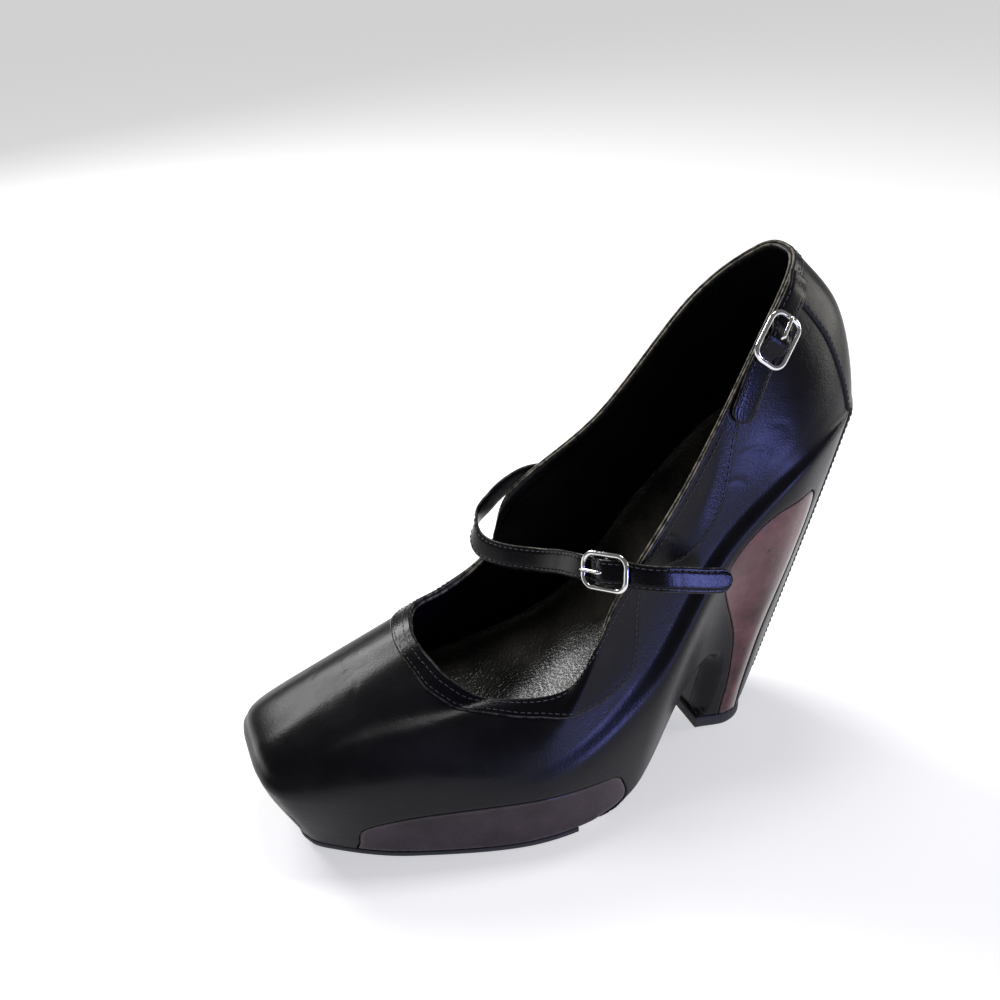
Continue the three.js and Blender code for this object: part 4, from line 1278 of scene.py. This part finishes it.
@dataclass
class Strap:
    """A strap with its buckle: centreline, leather, frame with its bar, and prong."""

    last: Last
    kind: StrapKind
    width: float = 9.0 * MM
    thick: float = 1.6 * MM
    wire: float = 1.7 * MM
    prong_wire: float = 1.4 * MM
    frame_length: float = 19.2 * MM
    frame_width: float = 13.8 * MM
    corner: float = 3.9 * MM
    play: float = 0.5 * MM
    bar: float = 1.3 * MM
    bar_drop: float = 0.9 * MM
    lean: float = 20.0
    over_band: float = 2.4 * MM
    samples: int = 12
    root_sink: float = 1.5 * MM
    root_rows: float = 1.5
    stitch_inset: float = 1.3 * MM
    stitch_end: float = 3.5 * MM

    # along of the length, across of the half width, height of the counter over the foot bed there
    INSTEP = (
        (0.600, -0.728, 0.849), (0.560, -0.766, 0.931), (0.522, -0.786, 0.951), (0.490, -0.792, 0.917),
        (0.463, -0.775, 0.856), (0.448, -0.674, 0.806), (0.450, -0.520, 0.777), (0.470, -0.300, 0.769),
        (0.508, -0.040, 0.758), (0.525, 0.190, 0.795), (0.534, 0.440, 0.847), (0.549, 0.583, 0.844),
        (0.572, 0.775, 0.827), (0.590, 0.912, 0.800), (0.613, 0.992, 0.737), (0.645, 1.030, 0.599),
        (0.680, 1.062, 0.417), (0.707, 1.082, 0.280), (0.717, 1.088, 0.233), (0.722, 1.091, 0.210),
    )
    # station, level
    HEEL = (
        (8.98, 3.86), (8.76, 3.85), (8.58, 3.84), (8.30, 3.82), (8.12, 3.81), (7.97, 3.80), (7.84, 3.77),
        (7.74, 3.72), (7.64, 3.66), (7.57, 3.61), (7.54, 3.59),
    )
    BUCKLE_AT = {StrapKind.INSTEP: 11.5, StrapKind.HEEL: 4.0}

    def marks(self, at: Array) -> tuple[Array, Array, Array, Array]:
        """Places, tangents, facings and sideways directions at rows of the strap's table."""
        if self.kind is StrapKind.INSTEP:
            rows = np.array(self.INSTEP, float)
            height = self.last.bed_at(rows[:, 0]) + rows[:, 2] * self.last.counter
            points = np.stack([rows[:, 1] * self.last.half_width, rows[:, 0] * self.last.length, height], 1)
            points = points + self.last.shift
            place, slope = smooth_line(points, at)
            tangent = unit(slope)
            flat = unit(np.cross(tangent, np.array([0.0, 0, 1])))
            turn = math.radians(-self.lean)
            facing = flat * math.cos(turn) + np.cross(tangent, flat) * math.sin(turn)
        else:
            rows = np.array(self.HEEL, float)
            points = self.last.off(rows[:, 0], rows[:, 1], self.over_band)
            place, slope = smooth_line(points, at)
            tangent = unit(slope)
            where, _ = smooth_line(rows[:, :2], at)
            facing = self.last.at(where[:, 0], where[:, 1])[1]
        facing = unit(facing - (facing * tangent).sum(1, keepdims=True) * tangent)
        return place, tangent, facing, np.cross(facing, tangent)

    def run(self) -> tuple[Array, Array, Array]:
        """Places, facings and sideways directions along the strap as it lies, its root sunk into the band."""
        rows = self.INSTEP if self.kind is StrapKind.INSTEP else self.HEEL
        at = np.linspace(0, len(rows) - 1, (len(rows) - 1) * self.samples + 1)
        place, _, facing, wide = self.marks(at)
        sunk = self.root_sink * (1 - smooth_step(0, self.root_rows, at))
        return self.over_bar(place, facing) - facing * sunk[:, None], facing, wide

    def seam(self, side: int) -> tuple[Array, Array]:
        """Where the stitches run beside one edge, and the strap's facing there."""
        place, facing, wide = self.run()
        away = np.linalg.norm(place - place[-1], axis=1)
        keep = (away > self.stitch_end) & (np.arange(len(place)) > self.root_rows * self.samples)
        line = place + wide * side * (self.width / 2 - self.stitch_inset) + facing * self.thick * 0.46
        return line[keep], facing[keep]

    def leather(self) -> None:
        """Makes the strap: folded round edges, a sewn channel along both, a rounded tail, and paler edges:
        wear on both, and a painted highlight on the upper one.
        """
        place, facing, wide = self.run()
        run = run_along(place)
        left = (run[-1] - run) / (self.width / 2)
        narrow = np.sqrt(np.clip(1 - (1 - np.clip(left, 0.02, 1)) ** 2, 0.03, 1))
        angles = np.linspace(0, 2 * math.pi, 44, endpoint=False)
        side = np.sign(np.cos(angles)) * np.abs(np.cos(angles)) ** 0.45
        lift = np.sign(np.sin(angles)) * np.abs(np.sin(angles)) ** 0.8
        channel = 1 - 0.22 * np.exp(-(((np.abs(side) - 0.74) / 0.07) ** 2)) * (lift > 0)
        half = self.width / 2 * narrow
        rings = (place[:, None] + wide[:, None] * (half[:, None] * side)[..., None]
                 + facing[:, None] * (self.thick / 2 * lift * channel)[None, :, None]
                 * np.minimum(1, 0.5 + narrow)[:, None, None])
        # Paler edges: wear on both, and a painted highlight that makes the upper edge paler than the lower.
        pale_edge = 0.55 * smooth_step(0.90, 1.0, side) + 0.2 * smooth_step(0.90, 1.0, -side)
        wear_and_highlight = np.broadcast_to(pale_edge, rings.shape[:2])
        name = f"{self.kind.value}_strap"
        sweep(rings[:, ::-1], wear_and_highlight=wear_and_highlight[:, ::-1]).piece(name + "_leather", TRIM, name)

    def frame_over(self) -> float:
        """Height of the frame's plane over the strap's middle."""
        return self.thick / 2 + self.play + self.wire / 2

    def hump(self) -> float:
        """How far the strap's middle rises over the bar."""
        return self.frame_over() - self.bar_drop + self.bar / 2 + self.play + self.thick / 2

    def over_bar(self, place: Array, facing: Array) -> Array:
        """Lifts the strap's places over the buckle's bar."""
        centre = self.marks(np.array([self.BUCKLE_AT[self.kind]]))[0][0]
        away = np.linalg.norm(place - centre, axis=1) / (self.frame_length / 2 - self.wire)
        lift = self.hump() * np.cos(np.minimum(away, 1) * math.pi / 2) ** 2
        return place + facing * lift[:, None]

    @staticmethod
    def rod(points: Array, plane: Array, broad: float, high: float, closed: bool) -> Shell:
        """A rounded rod through points in a plane."""
        if closed:
            tangent = unit(np.roll(points, -1, 0) - np.roll(points, 1, 0))
        else:
            tangent = unit(np.gradient(points, axis=0))
        side = unit(np.cross(tangent, plane))
        angles = np.linspace(0, 2 * math.pi, 18, endpoint=False)
        size = np.ones(len(points))
        if not closed:
            end = np.minimum(np.arange(len(points)), np.arange(len(points))[::-1]) / 4
            size = np.sqrt(np.clip(1 - (1 - np.clip(end, 0.05, 1)) ** 2, 0.05, 1))
        size = size[:, None, None]
        rings = (points[:, None] + side[:, None] * (np.sin(angles) * broad / 2)[None, :, None] * size
                 + plane * (np.cos(angles) * high / 2)[None, :, None] * size)
        return sweep(rings, closed_ends=closed)

    def buckle(self) -> None:
        """Makes the frame with its middle bar, and the prong."""
        mark = self.marks(np.array([self.BUCKLE_AT[self.kind]]))
        place, along, up, wide = (value[0] for value in mark)
        centre = place + up * self.frame_over()
        half = (self.frame_length - self.wire) / 2
        side = (self.frame_width - self.wire) / 2
        turn = np.linspace(0, math.pi / 2, 12)
        points = []
        for number, (l, w) in enumerate(((1, 1), (-1, 1), (-1, -1), (1, -1))):
            angle = turn + number * math.pi / 2
            points.append(centre + np.outer(l * (half - self.corner) + self.corner * np.cos(angle), along)
                          + np.outer(w * (side - self.corner) + self.corner * np.sin(angle), wide))
        frame = self.rod(np.vstack(points), up, self.wire * 1.1, self.wire * 0.9, True)
        across = np.linspace(-side, side, 16)
        bar = self.rod(centre - up * self.bar_drop + np.outer(across, wide), up, self.bar, self.bar, False)
        join([frame, bar]).piece(f"{self.kind.value}_buckle_frame", CHROME, f"{self.kind.value}_buckle")
        share = np.linspace(0, 1, 26)
        clear = self.prong_wire / 2 + 0.15 * MM
        over_end = self.wire / 2 + clear
        over_strap = self.hump() + self.thick / 2 - self.frame_over() + clear
        reach = -(half + self.wire * 0.3) * (1 - share)
        height = over_end + (over_strap - over_end) * share - 1.2 * MM * smooth_step(0.85, 1.0, share)
        line = centre + np.outer(reach, along) + np.outer(height, up)
        prong = self.rod(line, up, self.prong_wire, self.prong_wire * 0.85, False)
        prong.piece(f"{self.kind.value}_buckle_prong", CHROME, f"{self.kind.value}_prong")

    def build(self) -> None:
        """Makes the strap and all that is on it."""
        self.leather()
        self.buckle()


@dataclass
class Stitching:
    """Rows of single stitches, each row one mesh of small rounded bars."""

    last: Last
    length: float = 1.7 * MM
    pitch: float = 2.4 * MM
    thick: float = 0.42 * MM

    def row(self, name: str, place: Array, normal: Array, thread: Finish = THREAD) -> None:
        """Sews one row.

        Args:
            name: The row's name.
            place: Points that it follows.
            normal: The leather's outward directions there.
            thread: The thread's finish.
        """
        run = run_along(place)
        shells = []
        for start in np.arange(0.3 * self.pitch, run[-1] - self.pitch, self.pitch):
            at = start + self.length * np.array([0, 0.12, 0.5, 0.88, 1])
            spine = np.stack([np.interp(at, run, place[:, k]) for k in range(3)], 1)
            out = unit(np.stack([np.interp(at, run, normal[:, k]) for k in range(3)], 1))
            side = unit(np.cross(unit(spine[-1] - spine[0]), out))
            size = np.array([0.35, 0.9, 1, 0.9, 0.35])[:, None, None] * self.thick / 2
            sink = np.array([-0.5, 0.1, 0.3, 0.1, -0.5])[:, None] * self.thick / 2
            angles = np.linspace(0, 2 * math.pi, 7)[:-1]
            ring = np.cos(angles)[:, None] * side[:, None] + np.sin(angles)[:, None] * out[:, None]
            shells.append(sweep((spine + out * sink)[:, None] + ring * size))
        join(shells).piece(name, thread)

    def on_skin(self, name: str, line: Array, height: float, thread: Finish = THREAD) -> None:
        """Sews a row along places (station, level), at a height over the skin."""
        fine = self.last.even(line, 0.3 * MM)
        place, normal, _, _ = self.last.at(fine[:, 0], fine[:, 1])
        self.row(name, place + normal * height, normal, thread)

    def build(self) -> None:
        """Sews the topline, the band's seam, the back strip and both straps."""
        u = np.linspace(0, 19.999, 2000)
        up = np.linalg.norm(self.last.at(u, np.full_like(u, 3.9))[3], axis=1)
        self.on_skin("topline_stitches", np.stack([u, 4 - 3.2 * MM / up], 1), 1.0 * MM)
        line = np.stack([u, seam_level(u)], 1)
        inside = self.last.inward(line, closed=False)
        self.on_skin("band_stitches", self.last.step(line, inside, 1.5 * MM), 1.0 * MM, PALE_THREAD)
        level = np.linspace(0.12, 3.7, 500)
        edge = look_up(Tables.BACK_STRIP, level)
        for name, station in (("lateral", edge + 0.05), ("medial", 19.95 - edge)):
            self.on_skin(f"back_strip_stitches_{name}", np.stack([station, level], 1), 0.9 * MM)
        for kind in StrapKind:
            strap = Strap(self.last, kind)
            for name, side in (("upper", 1), ("lower", -1)):
                self.row(f"{kind.value}_strap_stitches_{name}", *strap.seam(side))


@dataclass
class Studio:
    """Pale floor, soft lights, and the camera at the photograph's angle."""

    last: Last
    place: tuple[float, float, float] = (314.34 * MM, -12.48 * MM, 307.89 * MM)
    azimuth: float = 69.74
    elevation: float = 30.04
    roll: float = -3.0
    lens: float = 39.89
    floor_reach: float = 14.0
    floor_glow: float = 0.5
    sky_glow: float = 0.14

    def camera(self) -> None:
        """Adds the camera."""
        turn, tilt, roll = (math.radians(a) for a in (self.azimuth, self.elevation, self.roll))
        back = Vector((math.sin(turn) * math.cos(tilt), -math.cos(turn) * math.cos(tilt), math.sin(tilt)))
        right = Vector((0, 0, 1)).cross(back).normalized()
        up = back.cross(right)
        right, up = right * math.cos(roll) + up * math.sin(roll), up * math.cos(roll) - right * math.sin(roll)
        data = bpy.data.cameras.new("camera")
        data.lens = self.lens
        data.sensor_width = 36
        made = bpy.data.objects.new("camera", data)
        bpy.context.scene.collection.objects.link(made)
        made.matrix_world = Matrix.Translation(Vector(self.place) + Vector(self.last.shift)) @ Matrix(
            (right, up, back)).transposed().to_4x4()
        bpy.context.scene.camera = made

    def floor(self) -> None:
        """Adds the floor."""
        mesh = bpy.data.meshes.new("floor")
        far = self.floor_reach
        mesh.from_pydata([(-far, -far, 0), (far, -far, 0), (far, far, 0), (-far, far, 0)], [], [(0, 1, 2, 3)])
        material = bpy.data.materials.new("floor_paper")
        material.use_nodes = True
        shader = material.node_tree.nodes["Principled BSDF"]
        shader.inputs["Base Color"].default_value = (0.94, 0.94, 0.94, 1)
        shader.inputs["Roughness"].default_value = 0.85
        shader.inputs["Specular IOR Level"].default_value = 0.2
        shader.inputs["Emission Color"].default_value = (1, 1, 1, 1)
        shader.inputs["Emission Strength"].default_value = self.floor_glow
        mesh.materials.append(material)
        made = bpy.data.objects.new("floor", mesh)
        bpy.context.scene.collection.objects.link(made)

    def panel(self, name: str, place: tuple[float, float, float], size: tuple[float, float], power: float,
              colour: tuple[float, float, float] = (1, 1, 1)) -> None:
        """Adds one soft light panel that points at the shoe's middle."""
        data = bpy.data.lights.new(name, "AREA")
        data.shape = "RECTANGLE"
        data.size, data.size_y = size
        data.energy = power
        data.color = colour
        made = bpy.data.objects.new(name, data)
        made.location = place
        made.rotation_euler = (Vector((0, 0, 0.06)) - Vector(place)).to_track_quat("-Z", "Y").to_euler()
        bpy.context.scene.collection.objects.link(made)

    def build(self) -> None:
        """Sets the stage."""
        self.camera()
        self.floor()
        self.panel("window", (0.95, 0.30, 0.15), (0.13, 0.16), 3.4, (0.28, 0.32, 1.0))
        self.panel("lamp", (-0.80, -0.38, 0.66), (0.55, 0.30), 7.5)
        self.panel("ceiling", (-0.25, 0.12, 1.10), (0.40, 0.30), 3.5)
        self.panel("strip", (0.20, 1.00, 0.30), (0.5, 0.25), 2.5, (1.0, 0.97, 0.90))
        world = bpy.data.worlds.new("world")
        world.use_nodes = True
        world.node_tree.nodes["Background"].inputs["Color"].default_value = (1, 1, 1, 1)
        world.node_tree.nodes["Background"].inputs["Strength"].default_value = self.sky_glow
        bpy.context.scene.world = world
        bpy.context.scene.view_settings.view_transform = "Standard"


def main() -> None:
    """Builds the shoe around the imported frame."""
    logging.basicConfig(level=logging.INFO, format="%(name)s %(message)s")
    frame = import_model()
    last = Last()
    last.seat_on(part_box("upper")[0])
    wedge = Wedge(last)
    frame["nodes"]["wedge"].material_slots[0].material = CORE.material()
    Studio(last).build()
    Upper(last, wedge).build()
    wedge.build()
    for plate in plates(last):
        plate.build()
    CollarBand(last).build()
    BackStrip(last).build()
    FootBed(last).build()
    Sole(last, wedge).build()
    for kind in StrapKind:
        Strap(last, kind).build()
    Stitching(last).build()


if __name__ == "__main__":
    main()
